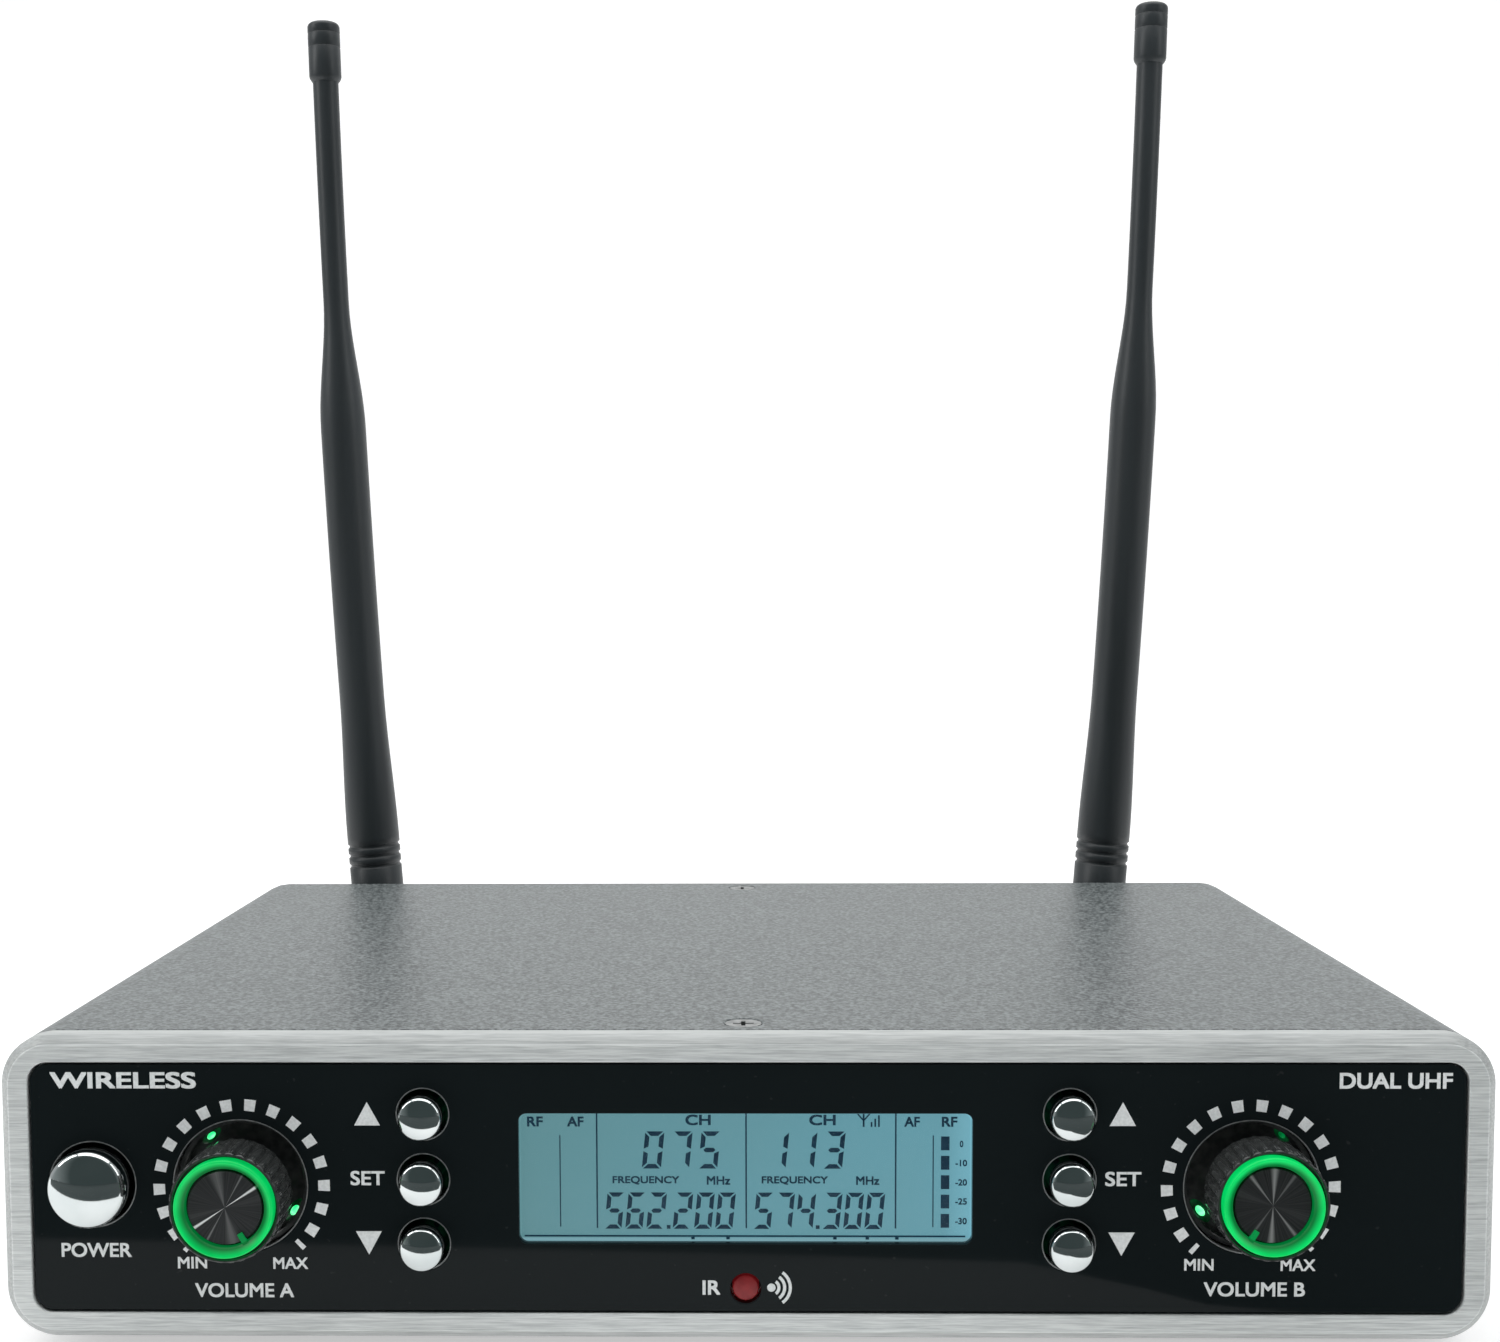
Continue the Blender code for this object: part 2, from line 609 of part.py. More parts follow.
def make_knob(label, centre):
    """Shaft, body, light ring and face plate, all about the pivot's Y axis, pointer first up."""
    x, height = centre
    pivot = add_pivot(f"knob_{label}_axis", at(x, INSERT_FRONT, height), (0, KNOB_POINTERS[label], 0))
    rim = RING_OUTER + GAP
    seat = KNOB_REACH - 0.0022
    bore = SHAFT_RADIUS + GAP
    body_outline = [
        (rim, KNOB_REACH - 0.0007),
        (KNOB_RADIUS - 0.0001, KNOB_REACH - 0.0007),
        (KNOB_RADIUS, KNOB_REACH - 0.0012),
        (KNOB_RADIUS, 0.0022),
        (0.0072, 0.0017),
        (0.0072, 0.0003),
        (bore, 0.0003),
        (bore, 0.0063),
        (0, 0.0063),
    ]
    top_outline = [(0, seat), (rim, seat)]
    outline = top_outline + body_outline
    turned(f"knob_body_{label}", KNOB_PLASTIC, outline, (0, 0, 0), TOWARDS_FRONT, pivot, steps=28)

    shaft_outline = [(0, 0.0060), (SHAFT_RADIUS, 0.0060), (SHAFT_RADIUS, -0.0120), (0, -0.0120)]
    turned(f"knob_shaft_{label}", STEEL, shaft_outline, (0, 0, 0), TOWARDS_FRONT, pivot, steps=16)

    ring_low = seat + GAP
    face_high = KNOB_REACH - 0.0011
    ring_outline = [
        (RING_INNER, face_high + 0.0001),
        (RING_INNER + 0.0005, face_high + 0.0006),
        (RING_OUTER - 0.0005, KNOB_REACH - 0.0001),
        (RING_OUTER - 0.0003, KNOB_REACH),
        (RING_OUTER, KNOB_REACH - 0.0003),
        (RING_OUTER, ring_low),
        (RING_INNER, ring_low),
    ]
    ring = turned(f"light_ring_{label}", GREEN_LIGHT, ring_outline, (0, 0, 0), TOWARDS_FRONT, pivot, steps=28)
    pointer_inner = 0.0041
    pointer_outer = RING_INNER + 0.0003
    pointer_size = (0.00075, 0.0011, pointer_outer - pointer_inner)
    pointer_centre = (0, -(KNOB_REACH - 0.00125), (pointer_inner + pointer_outer) / 2)
    join(ring, block(f"pointer_{label}", None, pointer_size, pointer_centre, parent=pivot))

    face_radius = RING_INNER - GAP
    face_outline = [(0, face_high), (face_radius, face_high), (face_radius, ring_low), (0, ring_low)]
    face = turned(f"knob_face_{label}", DARK_METAL, face_outline, (0, 0, 0), TOWARDS_FRONT, pivot, steps=24)
    notch_size = (0.00075 + 2 * GAP, 0.004, 0.003)
    notch_centre = (0, -face_high, pointer_inner - GAP + notch_size[2] / 2)
    cut(face, block(f"notch_{label}", None, notch_size, notch_centre, parent=pivot))


# Rear connectors


def make_xlr_output(label, x):
    """A flanged cup with three contact pins."""
    location = at(x, REAR_FACE_DEPTH, CONNECTOR_HEIGHT)
    mouth = GAP + 0.0022
    outer, inner = 0.0112, 0.0093
    floor, back = -0.0118, -0.0138
    outline = [(0, mouth - 0.0002), (outer, mouth - 0.0002), (outer, back), (0, back)]
    cup = turned(f"xlr_output_{label}", NICKEL, outline, location, TOWARDS_BACK, steps=24)
    flange_size = (XLR_FLANGE[0], mouth - GAP, XLR_FLANGE[1])
    flange_centre = at(x, REAR_FACE_DEPTH + (mouth + GAP) / 2, CONNECTOR_HEIGHT)
    join(cup, block(f"xlr_flange_{label}", None, flange_size, flange_centre, 0.003, segments=3))
    bore_centre = at(x, REAR_FACE_DEPTH + floor + 0.010, CONNECTOR_HEIGHT)
    cut(cup, cylinder(f"xlr_bore_{label}", None, inner, 0.020, bore_centre, segments=24))
    pin_length = 0.0092
    pin_depth = REAR_FACE_DEPTH + floor - 0.001 + pin_length / 2
    for index, (dx, dz) in enumerate(((-0.0035, 0.0020), (0.0035, 0.0020), (0.0, -0.0040))):
        pin_centre = at(x + dx, pin_depth, CONNECTOR_HEIGHT + dz)
        join(cup, cylinder(f"xlr_pin_{label}_{index}", None, 0.0012, pin_length, pin_centre, segments=8))


def make_line_output():
    """The 6.35 mm jack: nut, threaded bushing and body around one bore."""
    outline = [
        (0.0033, 0.0042),
        (0.0055, 0.0042),
        (0.0055, 0.0032),
        (0.0075, 0.0032),
        (0.0075, GAP),
        (0.0055, GAP),
        (0.0055, -SHEET - GAP),
        (0.0080, -SHEET - GAP),
        (0.0080, -0.0215),
        (0.0, -0.0215),
        (0.0, -0.0190),
        (0.0033, -0.0190),
    ]
    outline = outline[-2:] + outline[:-2]
    location = at(LINE_X, REAR_FACE_DEPTH, CONNECTOR_HEIGHT)
    turned("line_output", BLACK_PLASTIC, outline, location, TOWARDS_BACK)


def make_dc_inlet():
    """The barrel socket, with its centre pin."""
    outline = [
        (0.0, -0.0005),
        (0.00105, -0.0005),
        (0.00105, -0.0090),
        (0.00285, -0.0090),
        (0.00285, 0.0018),
        (0.0065, 0.0018),
        (0.0065, GAP),
        (0.0054, GAP),
        (0.0054, -0.0130),
        (0.0, -0.0130),
    ]
    location = at(DC_X, REAR_FACE_DEPTH, CONNECTOR_HEIGHT)
    turned("dc_inlet", BLACK_PLASTIC, outline, location, TOWARDS_BACK)


# Antennas


def make_antenna_jack(label, place):
    outline = [
        (0, 0.0064),
        (0.0042, 0.0064),
        (0.0045, 0.0061),
        (0.0045, 0.0023),
        (0.0066, 0.0023),
        (0.0066, GAP),
        (0.0048, GAP),
        (0.0048, -SHEET - GAP),
        (0.0070, -SHEET - GAP),
        (0.0070, -0.0040),
        (0.0040, -0.0040),
        (0.0040, -0.0110),
        (0, -0.0110),
    ]
    location = at(place["x"], REAR_FACE_DEPTH, place["height"])
    turned(f"antenna_jack_{label}", NICKEL, outline, location, TOWARDS_BACK, steps=16)


def make_antenna_fork(label, pivot):
    """A sleeve that turns on the jack, and two ears that hold the hinge pin."""
    start = REAR_FACE_DEPTH + 0.0027 - ANTENNA_BACK
    floor = REAR_FACE_DEPTH + 0.0067 - ANTENNA_BACK
    end = floor + 0.0010
    bore = 0.0048
    outline = [
        (0, end),
        (0.0055, end),
        (0.0060, end - 0.0005),
        (0.0060, floor - 0.0010),
        (0.0068, floor - 0.0018),
        (0.0068, start),
        (bore, start),
        (bore, floor),
        (0, floor),
    ]
    fork = turned(f"antenna_fork_{label}", BLACK_PLASTIC, outline, (0, 0, 0), TOWARDS_BACK, pivot, steps=16)
    width = FORK_SLOT + 2 * 0.0026
    root = (floor + end) / 2
    cheek_size = (width, -root, 2 * FORK_RADIUS)
    cheeks = block(f"fork_cheeks_{label}", None, cheek_size, (0, root / 2, 0), parent=pivot)
    nose = cylinder(f"fork_nose_{label}", None, FORK_RADIUS, width, (0, 0, 0), ALONG_X, pivot, 24)
    join(fork, cheeks, nose)
    slot_size = (FORK_SLOT, FORK_RADIUS + 0.001 - end, 0.014)
    slot_centre = (0, (FORK_RADIUS + 0.001 + end) / 2, 0)
    pin_hole = cylinder(f"fork_hole_{label}", None, HINGE_PIN_RADIUS + GAP, 0.016, (0, 0, 0), ALONG_X, pivot)
    cut(fork, block(f"fork_slot_{label}", None, slot_size, slot_centre, parent=pivot), pin_hole)
    cylinder(f"antenna_pin_{label}", STEEL, HINGE_PIN_RADIUS, width, (0, 0, 0), ALONG_X, pivot)


def whip_radius(distance):
    """The whip narrows twice on its way up: from its thick foot, and above its middle."""
    foot, middle, tip = WHIP_FOOT_RADIUS, WHIP_MIDDLE_RADIUS, WHIP_TIP_RADIUS
    lower = smooth_step(distance, 0.029, 0.060)
    upper = smooth_step(distance, 0.119, 0.146)
    return foot + (middle - foot) * lower + (tip - middle) * upper


def whip_stations():
    """Distances up the whip with the radius at each; three relief grooves ring the foot."""
    yield WHIP_START, WHIP_FOOT_RADIUS
    for groove in (0.0228, 0.0250, 0.0271):
        for offset, depth in ((-0.00045, 0), (-0.0002, 0.00025), (0.0002, 0.00025), (0.00045, 0)):
            yield groove + offset, WHIP_FOOT_RADIUS - depth
    for distance in (0.031, 0.038, 0.045, 0.052, 0.060, 0.080, 0.100, 0.118):
        yield distance, whip_radius(distance)
    for distance in (0.124, 0.130, 0.136, 0.141, 0.147, 0.164, 0.181, WHIP_END):
        yield distance, whip_radius(distance)


def make_whip(label, pivot, inward, stretch):
    """A tapered tube on a slightly bowed line, with the hinge tongue at its foot."""
    curve = bpy.data.curves.new(f"whip_line_{label}", "CURVE")
    curve.dimensions = "3D"
    curve.bevel_depth = 0.001
    curve.bevel_resolution = 4
    curve.use_fill_caps = True
    spline = curve.splines.new("POLY")
    stations = list(whip_stations())
    spline.points.add(len(stations) - 1)
    for point, (distance, radius) in zip(spline.points, stations):
        along = distance * stretch if distance > WHIP_START else distance
        point.co = (inward * WHIP_BOW * along**2, 0, along, 1)
        point.radius = radius / curve.bevel_depth
    line = bpy.data.objects.new(f"whip_line_{label}", curve)
    CUTTERS.objects.link(line)
    mesh = evaluated_mesh(line)
    bpy.data.objects.remove(line)
    builder = bmesh.new()
    builder.from_mesh(mesh)
    bmesh.ops.remove_doubles(builder, verts=builder.verts, dist=0.00001)
    name = f"antenna_whip_{label}"
    whip = add_object(name, finish_mesh(name, builder), RUBBER, (0, 0, 0), parent=pivot)
    tongue_size = (TONGUE_THICKNESS, 0.008, WHIP_START + 0.001)
    tongue_centre = (0, 0, tongue_size[2] / 2)
    tongue = block(f"tongue_{label}", None, tongue_size, tongue_centre, parent=pivot)
    knuckle_radius = FORK_RADIUS - 0.0002
    knuckle = cylinder(
        f"knuckle_{label}", None, knuckle_radius, TONGUE_THICKNESS, (0, 0, 0), ALONG_X, pivot, 24
    )
    join(whip, tongue, knuckle)
    hole_radius = HINGE_PIN_RADIUS + GAP
    cut(whip, cylinder(f"knuckle_hole_{label}", None, hole_radius, 0.008, (0, 0, 0), ALONG_X, pivot))


def make_antenna_cap(label, pivot, inward, stretch):
    """The thicker end sleeve, closed at the top, over the end of the whip."""
    start = CAP_START * stretch
    length = CAP_END - CAP_START
    bore = whip_radius(CAP_START) + GAP
    bore_depth = WHIP_END * stretch - start + GAP
    crown = [
        (CAP_RADIUS - 0.0010 + 0.0010 * math.sin(angle), length - 0.0010 + 0.0010 * math.cos(angle))
        for angle in [math.pi / 6 * index for index in range(4)]
    ]
    skirt = [(CAP_RADIUS, 0.0004), (CAP_RADIUS - 0.0003, 0), (bore, 0), (bore, bore_depth), (0, bore_depth)]
    outline = [(0, length), *crown, *skirt]
    tilt = math.atan(2 * WHIP_BOW * start)
    location = (inward * WHIP_BOW * start**2, 0, start)
    turned(f"antenna_cap_{label}", RUBBER, outline, location, (0, inward * tilt, 0), pivot, steps=16)


def make_antenna(label, place):
    inward = 1 if place["x"] < 0 else -1
    hinge = at(place["x"], ANTENNA_BACK, place["height"])
    swivel = add_pivot(f"antenna_{label}_swivel", hinge, (0, place["lean"], 0))
    fold = add_pivot(f"antenna_{label}_fold", (0, 0, 0), parent=swivel)
    make_antenna_jack(label, place)
    make_antenna_fork(label, swivel)
    make_whip(label, fold, inward, place["stretch"])
    make_antenna_cap(label, fold, inward, place["stretch"])


def main():
    holes = make_front_holes()
    make_front_panel(holes)
    make_front_insert(holes)
    make_chassis(holes)
    make_top_cover()
    make_cover_screws()
    make_rear_panel()
    make_feet()
    make_display()
    make_infrared_window()
    make_boards()
    make_ribbon_cable()
    make_power_switch()
    make_power_button()
    for label, centre in well_centres():
        make_light_well(label, centre)
    for label, centre in KNOB_CENTRES.items():
        make_potentiometer(label, centre)
        make_knob(label, centre)
    for label, centre in key_centres():
        make_tact_switch(label, centre)
        make_key(label, centre)
    make_xlr_output("a", -XLR_X)
    make_xlr_output("b", XLR_X)
    make_line_output()
    make_dc_inlet()
    for label, place in ANTENNAS.items():
        make_antenna(label, place)


main()
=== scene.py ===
"""Looks of a two-channel wireless receiver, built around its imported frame.

Frame: metres, +X to the right of a person facing the front panel, +Y to the back, +Z up.
A depth is measured back from the front panel's front plane, and a height up from its lower edge.
"""

import json
from math import asin, atan, cos, pi, radians, sin, tan

import bmesh
import bpy
from mathutils import Matrix, Vector


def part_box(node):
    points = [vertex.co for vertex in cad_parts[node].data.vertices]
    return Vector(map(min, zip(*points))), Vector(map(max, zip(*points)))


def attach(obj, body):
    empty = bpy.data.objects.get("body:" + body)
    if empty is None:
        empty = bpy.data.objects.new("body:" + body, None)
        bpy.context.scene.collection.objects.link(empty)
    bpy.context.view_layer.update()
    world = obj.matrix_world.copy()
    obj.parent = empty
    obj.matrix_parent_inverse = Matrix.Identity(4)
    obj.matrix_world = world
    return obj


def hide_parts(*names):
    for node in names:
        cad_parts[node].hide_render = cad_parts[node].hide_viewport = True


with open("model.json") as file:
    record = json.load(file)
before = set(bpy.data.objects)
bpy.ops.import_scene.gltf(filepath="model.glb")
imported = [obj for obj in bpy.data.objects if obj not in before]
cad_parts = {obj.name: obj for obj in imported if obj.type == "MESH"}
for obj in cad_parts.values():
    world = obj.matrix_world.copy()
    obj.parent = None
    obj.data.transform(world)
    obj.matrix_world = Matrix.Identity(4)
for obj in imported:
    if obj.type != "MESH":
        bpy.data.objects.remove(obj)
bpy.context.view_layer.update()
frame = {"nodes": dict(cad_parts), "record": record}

# Places taken from the frame
PANEL_LOW, PANEL_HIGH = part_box("front_panel")
FRONT_Y = PANEL_LOW.y
BASE_Z = PANEL_LOW.z
MM = 0.001


def at(x, depth, height):
    """The world position of a place given by its depth and height on the case."""
    return Vector((x, FRONT_Y + depth, BASE_Z + height))


def place_of(node):
    """The middle of a node as (x, height)."""
    low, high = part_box(node)
    return (low.x + high.x) / 2, (low.z + high.z) / 2 - BASE_Z


def depth_of(y):
    return y - FRONT_Y


INSERT_LOW, INSERT_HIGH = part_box("front_insert")
INSERT_SIZE = (INSERT_HIGH.x - INSERT_LOW.x, INSERT_HIGH.z - INSERT_LOW.z)
INSERT_MIDDLE = (0.0, (INSERT_HIGH.z + INSERT_LOW.z) / 2 - BASE_Z)
INSERT_FACE = depth_of(INSERT_LOW.y)
INSERT_BACK = depth_of(INSERT_HIGH.y)
REAR_FACE = depth_of(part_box("rear_panel")[1].y)
GAP = 0.0003
CHANNELS = ("a", "b")
KNOB_CENTRES = {
    joint["child"][-1]: (joint["pos_m"][0], joint["pos_m"][2] - BASE_Z)
    for joint in frame["record"]["behaviour"]["joints"]
    if joint["name"].startswith("volume")
}
KEYS = [f"{channel}_{action}" for channel in CHANNELS for action in ("up", "set", "down")]

# Front panel and its openings
PANEL_CORNER = 0.0073
PANEL_CHAMFER = 0.00127
PANEL_THICKNESS = 0.0038
POCKET_CORNER = 0.0029
POCKET_DEPTH = 0.0022
KNOB_WELL_RADIUS = 0.0097
POWER_HOLE = 0.0063
KEY_HOLE = 0.00383
INFRARED_HOLE = 0.0022
WINDOW_SIZE = (0.0644, 0.0189)
WINDOW_CORNER = 0.0012
MODULE_SIZE = (0.068, 0.023)
WINDOW_CENTRE = place_of("display_window")

# Camera, as fitted to the panel and the cover
CAMERA_DISTANCE = 0.27397
CAMERA_X = -0.00033
CAMERA_HEIGHT = 0.10520
CAMERA_PITCH = radians(4.333)
CAMERA_YAW = radians(-1.060)
CAMERA_ROLL = radians(-0.2385)
CAMERA_LENS = 47.29
CAMERA_SHIFT = (0.03075, 0.05299)


# Camera


def make_camera():
    yaw, pitch, roll = CAMERA_YAW, CAMERA_PITCH, CAMERA_ROLL
    flat = cos(pitch)
    forward = Vector((sin(yaw) * flat, cos(yaw) * flat, -sin(pitch)))
    level = Vector((cos(yaw), -sin(yaw), 0))
    upright = level.cross(forward)
    right = level * cos(roll) + upright * sin(roll)
    up = upright * cos(roll) - level * sin(roll)
    data = bpy.data.cameras.new("camera")
    data.sensor_width = 36
    data.lens = CAMERA_LENS
    data.shift_x, data.shift_y = CAMERA_SHIFT
    data.clip_start = 0.01
    camera = bpy.data.objects.new("camera", data)
    turned = Matrix((right, up, -forward)).transposed().to_4x4()
    camera.matrix_world = Matrix.Translation(at(CAMERA_X, -CAMERA_DISTANCE, CAMERA_HEIGHT)) @ turned
    bpy.context.scene.collection.objects.link(camera)
    bpy.context.scene.camera = camera


make_camera()


def link_to_scene(name, data):
    obj = bpy.data.objects.new(name, data)
    bpy.context.scene.collection.objects.link(obj)
    return obj


# Material tools


class Shader:
    """A material with its Principled BSDF, and short ways to feed it."""

    def __init__(self, name, colour, roughness, metallic=0.0):
        self.material = bpy.data.materials.new(name)
        self.material.use_nodes = True
        self.tree = self.material.node_tree
        self.bsdf = self.tree.nodes["Principled BSDF"]
        self.set("Base Color", (*colour, 1.0))
        self.set("Roughness", roughness)
        self.set("Metallic", metallic)
        self.place = self.node("ShaderNodeTexCoord").outputs["Object"]

    def node(self, kind, **inputs):
        node = self.tree.nodes.new(kind)
        for key, value in inputs.items():
            node.inputs[key.replace("_", " ")].default_value = value
        return node

    def link(self, output, target):
        self.tree.links.new(output, target)

    def feed(self, socket, value):
        """Takes another node's output, a number or a colour."""
        if isinstance(value, bpy.types.NodeSocket):
            self.link(value, socket)
        else:
            socket.default_value = (*value, 1.0) if isinstance(value, tuple) else value

    def set(self, socket, value):
        self.bsdf.inputs[socket].default_value = value

    def noise(self, scale, detail=2.0, roughness=0.5):
        """Noise of so many features to the metre, either one number or one each along X, Y and Z."""
        mapping = self.node("ShaderNodeMapping", Scale=scale if isinstance(scale, tuple) else (scale,) * 3)
        self.link(self.place, mapping.inputs["Vector"])
        noise = self.node("ShaderNodeTexNoise", Scale=1.0, Detail=detail, Roughness=roughness)
        self.link(mapping.outputs["Vector"], noise.inputs["Vector"])
        return noise.outputs["Fac"]

    def ramp(self, value, low, high, start=0.35, end=0.65):
        ramp = self.node("ShaderNodeValToRGB")
        first, last = ramp.color_ramp.elements
        first.position, last.position = start, end
        first.color, last.color = (*low, 1.0), (*high, 1.0)
        self.link(value, ramp.inputs["Fac"])
        return ramp.outputs["Color"]

    def math(self, operation, first, second=0.0):
        node = self.tree.nodes.new("ShaderNodeMath")
        node.operation = operation
        self.feed(node.inputs[0], first)
        self.feed(node.inputs[1], second)
        return node.outputs["Value"]

    def spread(self, value, low, high, start=0.0, end=1.0):
        spread = self.node("ShaderNodeMapRange", From_Min=start, From_Max=end, To_Min=low, To_Max=high)
        self.link(value, spread.inputs["Value"])
        return spread.outputs["Result"]

    def mix(self, factor, first, second):
        mix = self.tree.nodes.new("ShaderNodeMix")
        mix.data_type = "RGBA"
        for index, value in ((0, factor), (6, first), (7, second)):
            self.feed(mix.inputs[index], value)
        return mix.outputs[2]

    def vector(self, operation, source, value=None):
        node = self.tree.nodes.new("ShaderNodeVectorMath")
        node.operation = operation
        self.link(source, node.inputs[0])
        if value is not None:
            node.inputs[1].default_value = value
        return node.outputs["Value" if operation == "LENGTH" else "Vector"]

    def from_knob(self, channel):
        """How far a point lies from the middle of a knob, as a vector."""
        x, height = KNOB_CENTRES[channel]
        return self.vector("SUBTRACT", self.place, at(x, 0, height))

    def colour(self, output):
        self.link(output, self.bsdf.inputs["Base Color"])

    def glow(self, output, strength):
        self.link(output, self.bsdf.inputs["Emission Color"])
        self.set("Emission Strength", strength)

    def rough(self, output):
        self.link(output, self.bsdf.inputs["Roughness"])

    def bump(self, height, distance, strength=1.0):
        bump = self.node("ShaderNodeBump", Strength=strength, Distance=distance)
        self.link(height, bump.inputs["Height"])
        self.link(bump.outputs["Normal"], self.bsdf.inputs["Normal"])


def brushed_aluminium(name="brushed_aluminium", shade_tint=1.0):
    """Brushed along X, so that its reflections spread up and down. A shade factor below one darkens the whole
    copy; the panel's rim takes such a copy as painted shade.
    """
    shader = Shader(name, (0.86, 0.87, 0.87), 0.50, 0.30)
    shader.set("Anisotropic", 0.60)
    tangent = shader.node("ShaderNodeTangent")
    tangent.direction_type = "RADIAL"
    tangent.axis = "X"
    shader.link(tangent.outputs["Tangent"], shader.bsdf.inputs["Tangent"])
    fine = shader.noise((120, 3400, 3400), 3.0, 0.70)
    broad = shader.noise((30, 900, 900), 2.0)
    tones = ((0.50, 0.52, 0.52), (0.88, 0.90, 0.89), (0.73, 0.75, 0.745))
    low, high, even = (tuple(shade_tint * value for value in tone) for tone in tones)
    tone = shader.ramp(fine, low, high, 0.30, 0.62)
    shader.colour(shader.mix(shader.spread(broad, 0.0, 0.40), tone, even))
    shader.rough(shader.spread(fine, 0.46, 0.60))
    shader.bump(fine, 0.00002, 0.4)
    return shader.material


def powder_coat():
    shader = Shader("charcoal_powder_coat", (0.17, 0.185, 0.185), 0.50)
    grain = shader.noise(1500, 2.0, 0.6)
    cloud = shader.noise(14, 2.0)
    tone = shader.ramp(grain, (0.022, 0.029, 0.031), (0.218, 0.242, 0.243), 0.37, 0.66)
    shader.colour(shader.mix(shader.spread(cloud, 0.0, 0.20), tone, (0.116, 0.130, 0.131)))
    shader.rough(shader.spread(grain, 0.34, 0.50))
    shader.bump(grain, 0.00006, 0.7)
    return shader.material


def gloss_acrylic():
    shader = Shader("gloss_black_acrylic", (0.0080, 0.0115, 0.0125), 0.06)
    shader.set("IOR", 1.20)
    haze = shader.noise(60, 3.0)
    dust = shader.noise(900, 1.0)
    shader.colour(shader.ramp(dust, (0.0080, 0.0115, 0.0125), (0.020, 0.023, 0.024), 0.74, 0.80))
    shader.rough(shader.spread(haze, 0.045, 0.10))
    return shader.material


def printed_ink():
    shader = Shader("light_grey_print", (0.80, 0.82, 0.82), 0.55)
    grain = shader.noise(2500, 2.0)
    shader.colour(shader.ramp(grain, (0.74, 0.76, 0.76), (0.86, 0.88, 0.88)))
    return shader.material


def chrome():
    shader = Shader("polished_chrome", (0.64, 0.67, 0.67), 0.06, 1.0)
    wear = shader.noise(500, 3.0, 0.6)
    smear = shader.noise(110, 3.0)
    shader.colour(shader.ramp(smear, (0.58, 0.62, 0.62), (0.68, 0.71, 0.71)))
    shader.rough(shader.spread(wear, 0.05, 0.10))
    shader.bump(smear, 0.00004, 0.45)
    return shader.material


# The painted highlight wedges of each knob's spun face: direction, half width (as a sine) and strength
PAINTED_HIGHLIGHT_WEDGES = {
    "a": ((33.5, 0.055, 1.60), (61, 0.040, 0.22), (103, 0.24, 0.13), (15, 0.20, 0.02)),
    "b": ((88, 0.13, 0.36), (127, 0.075, 0.30), (55, 0.075, 0.16), (160, 0.20, 0.02)),
}


def spun_metal(channel):
    """Black anodised metal turned in fine rings. Its bow-tie shine is a painted highlight: lighter wedges in
    the colour, which turn with the knob.
    """
    shader = Shader(f"spun_black_metal_{channel}", (0.035, 0.036, 0.038), 0.42, 0.35)
    split = shader.node("ShaderNodeSeparateXYZ")
    shader.link(shader.from_knob(channel), split.inputs["Vector"])
    angle = shader.math("ARCTAN2", split.outputs["Z"], split.outputs["X"])
    painted_sheen = None
    for direction, width, strength in PAINTED_HIGHLIGHT_WEDGES[channel]:
        turned = shader.math("SUBTRACT", angle, radians(direction))
        away = shader.math("ABSOLUTE", shader.math("SINE", turned))
        wedge = shader.spread(away, strength, 0.0, 0.0, width)
        painted_sheen = wedge if painted_sheen is None else shader.math("ADD", painted_sheen, wedge)
    spokes = shader.node("ShaderNodeCombineXYZ")
    shader.link(shader.math("MULTIPLY", angle, 16.0), spokes.inputs["X"])
    streaks = shader.node("ShaderNodeTexNoise", Scale=1.0, Detail=3.0, Roughness=0.7)
    shader.link(spokes.outputs["Vector"], streaks.inputs["Vector"])
    ground = shader.ramp(streaks.outputs["Fac"], (0.014, 0.015, 0.016), (0.062, 0.064, 0.068), 0.35, 0.75)
    # Where the wedges fall the colour turns near white: a painted highlight, not a reflection.
    shader.colour(shader.mix(painted_sheen, ground, (0.95, 0.95, 0.95)))
    grain = shader.noise(1800, 2.0)
    shader.rough(shader.spread(grain, 0.38, 0.48))
    return shader.material


# How strongly each ring glows; ring b is set brighter than ring a, a painted difference of light between two
# alike rings.
RING_GLOW = {"a": 1.03, "b": 1.18}


def lit_green(channel):
    """A ring lit from inside, its glow strongest along its ridge. Its darkness where it dips to the face is
    painted shade, in both its glow and its colour.
    """
    shader = Shader(f"lit_green_ring_{channel}", (0.003, 0.34, 0.085), 0.30)
    shader.set("IOR", 1.30)
    radius = shader.vector("LENGTH", shader.vector("MULTIPLY", shader.from_knob(channel), (1.0, 0.0, 1.0)))
    cloud = shader.noise(260, 2.0)
    glow = shader.ramp(cloud, (0.0, 0.42, 0.075), (0.001, 0.54, 0.108))
    # The ridge is lit and the inner slope darker, in the glow and in the colour below: the darker slope is
    # painted shade.
    crest = shader.spread(radius, 0.0, 1.0, 0.00580, 0.00655)
    glow = shader.mix(crest, (0.0, 0.13, 0.025), glow)
    pointer = shader.spread(radius, 1.0, 0.0, 0.0054, 0.00545)
    glow = shader.mix(pointer, glow, (0.0, 0.20, 0.045))
    shader.colour(shader.mix(crest, (0.001, 0.04, 0.008), (0.002, 0.18, 0.04)))
    shader.glow(glow, RING_GLOW[channel])
    return shader.material


def lit_green_lamp(name, low, high, strength):
    shader = Shader(name, low, 0.15)
    cloud = shader.noise(900, 1.0)
    shader.glow(shader.ramp(cloud, low, high), strength)
    return shader.material


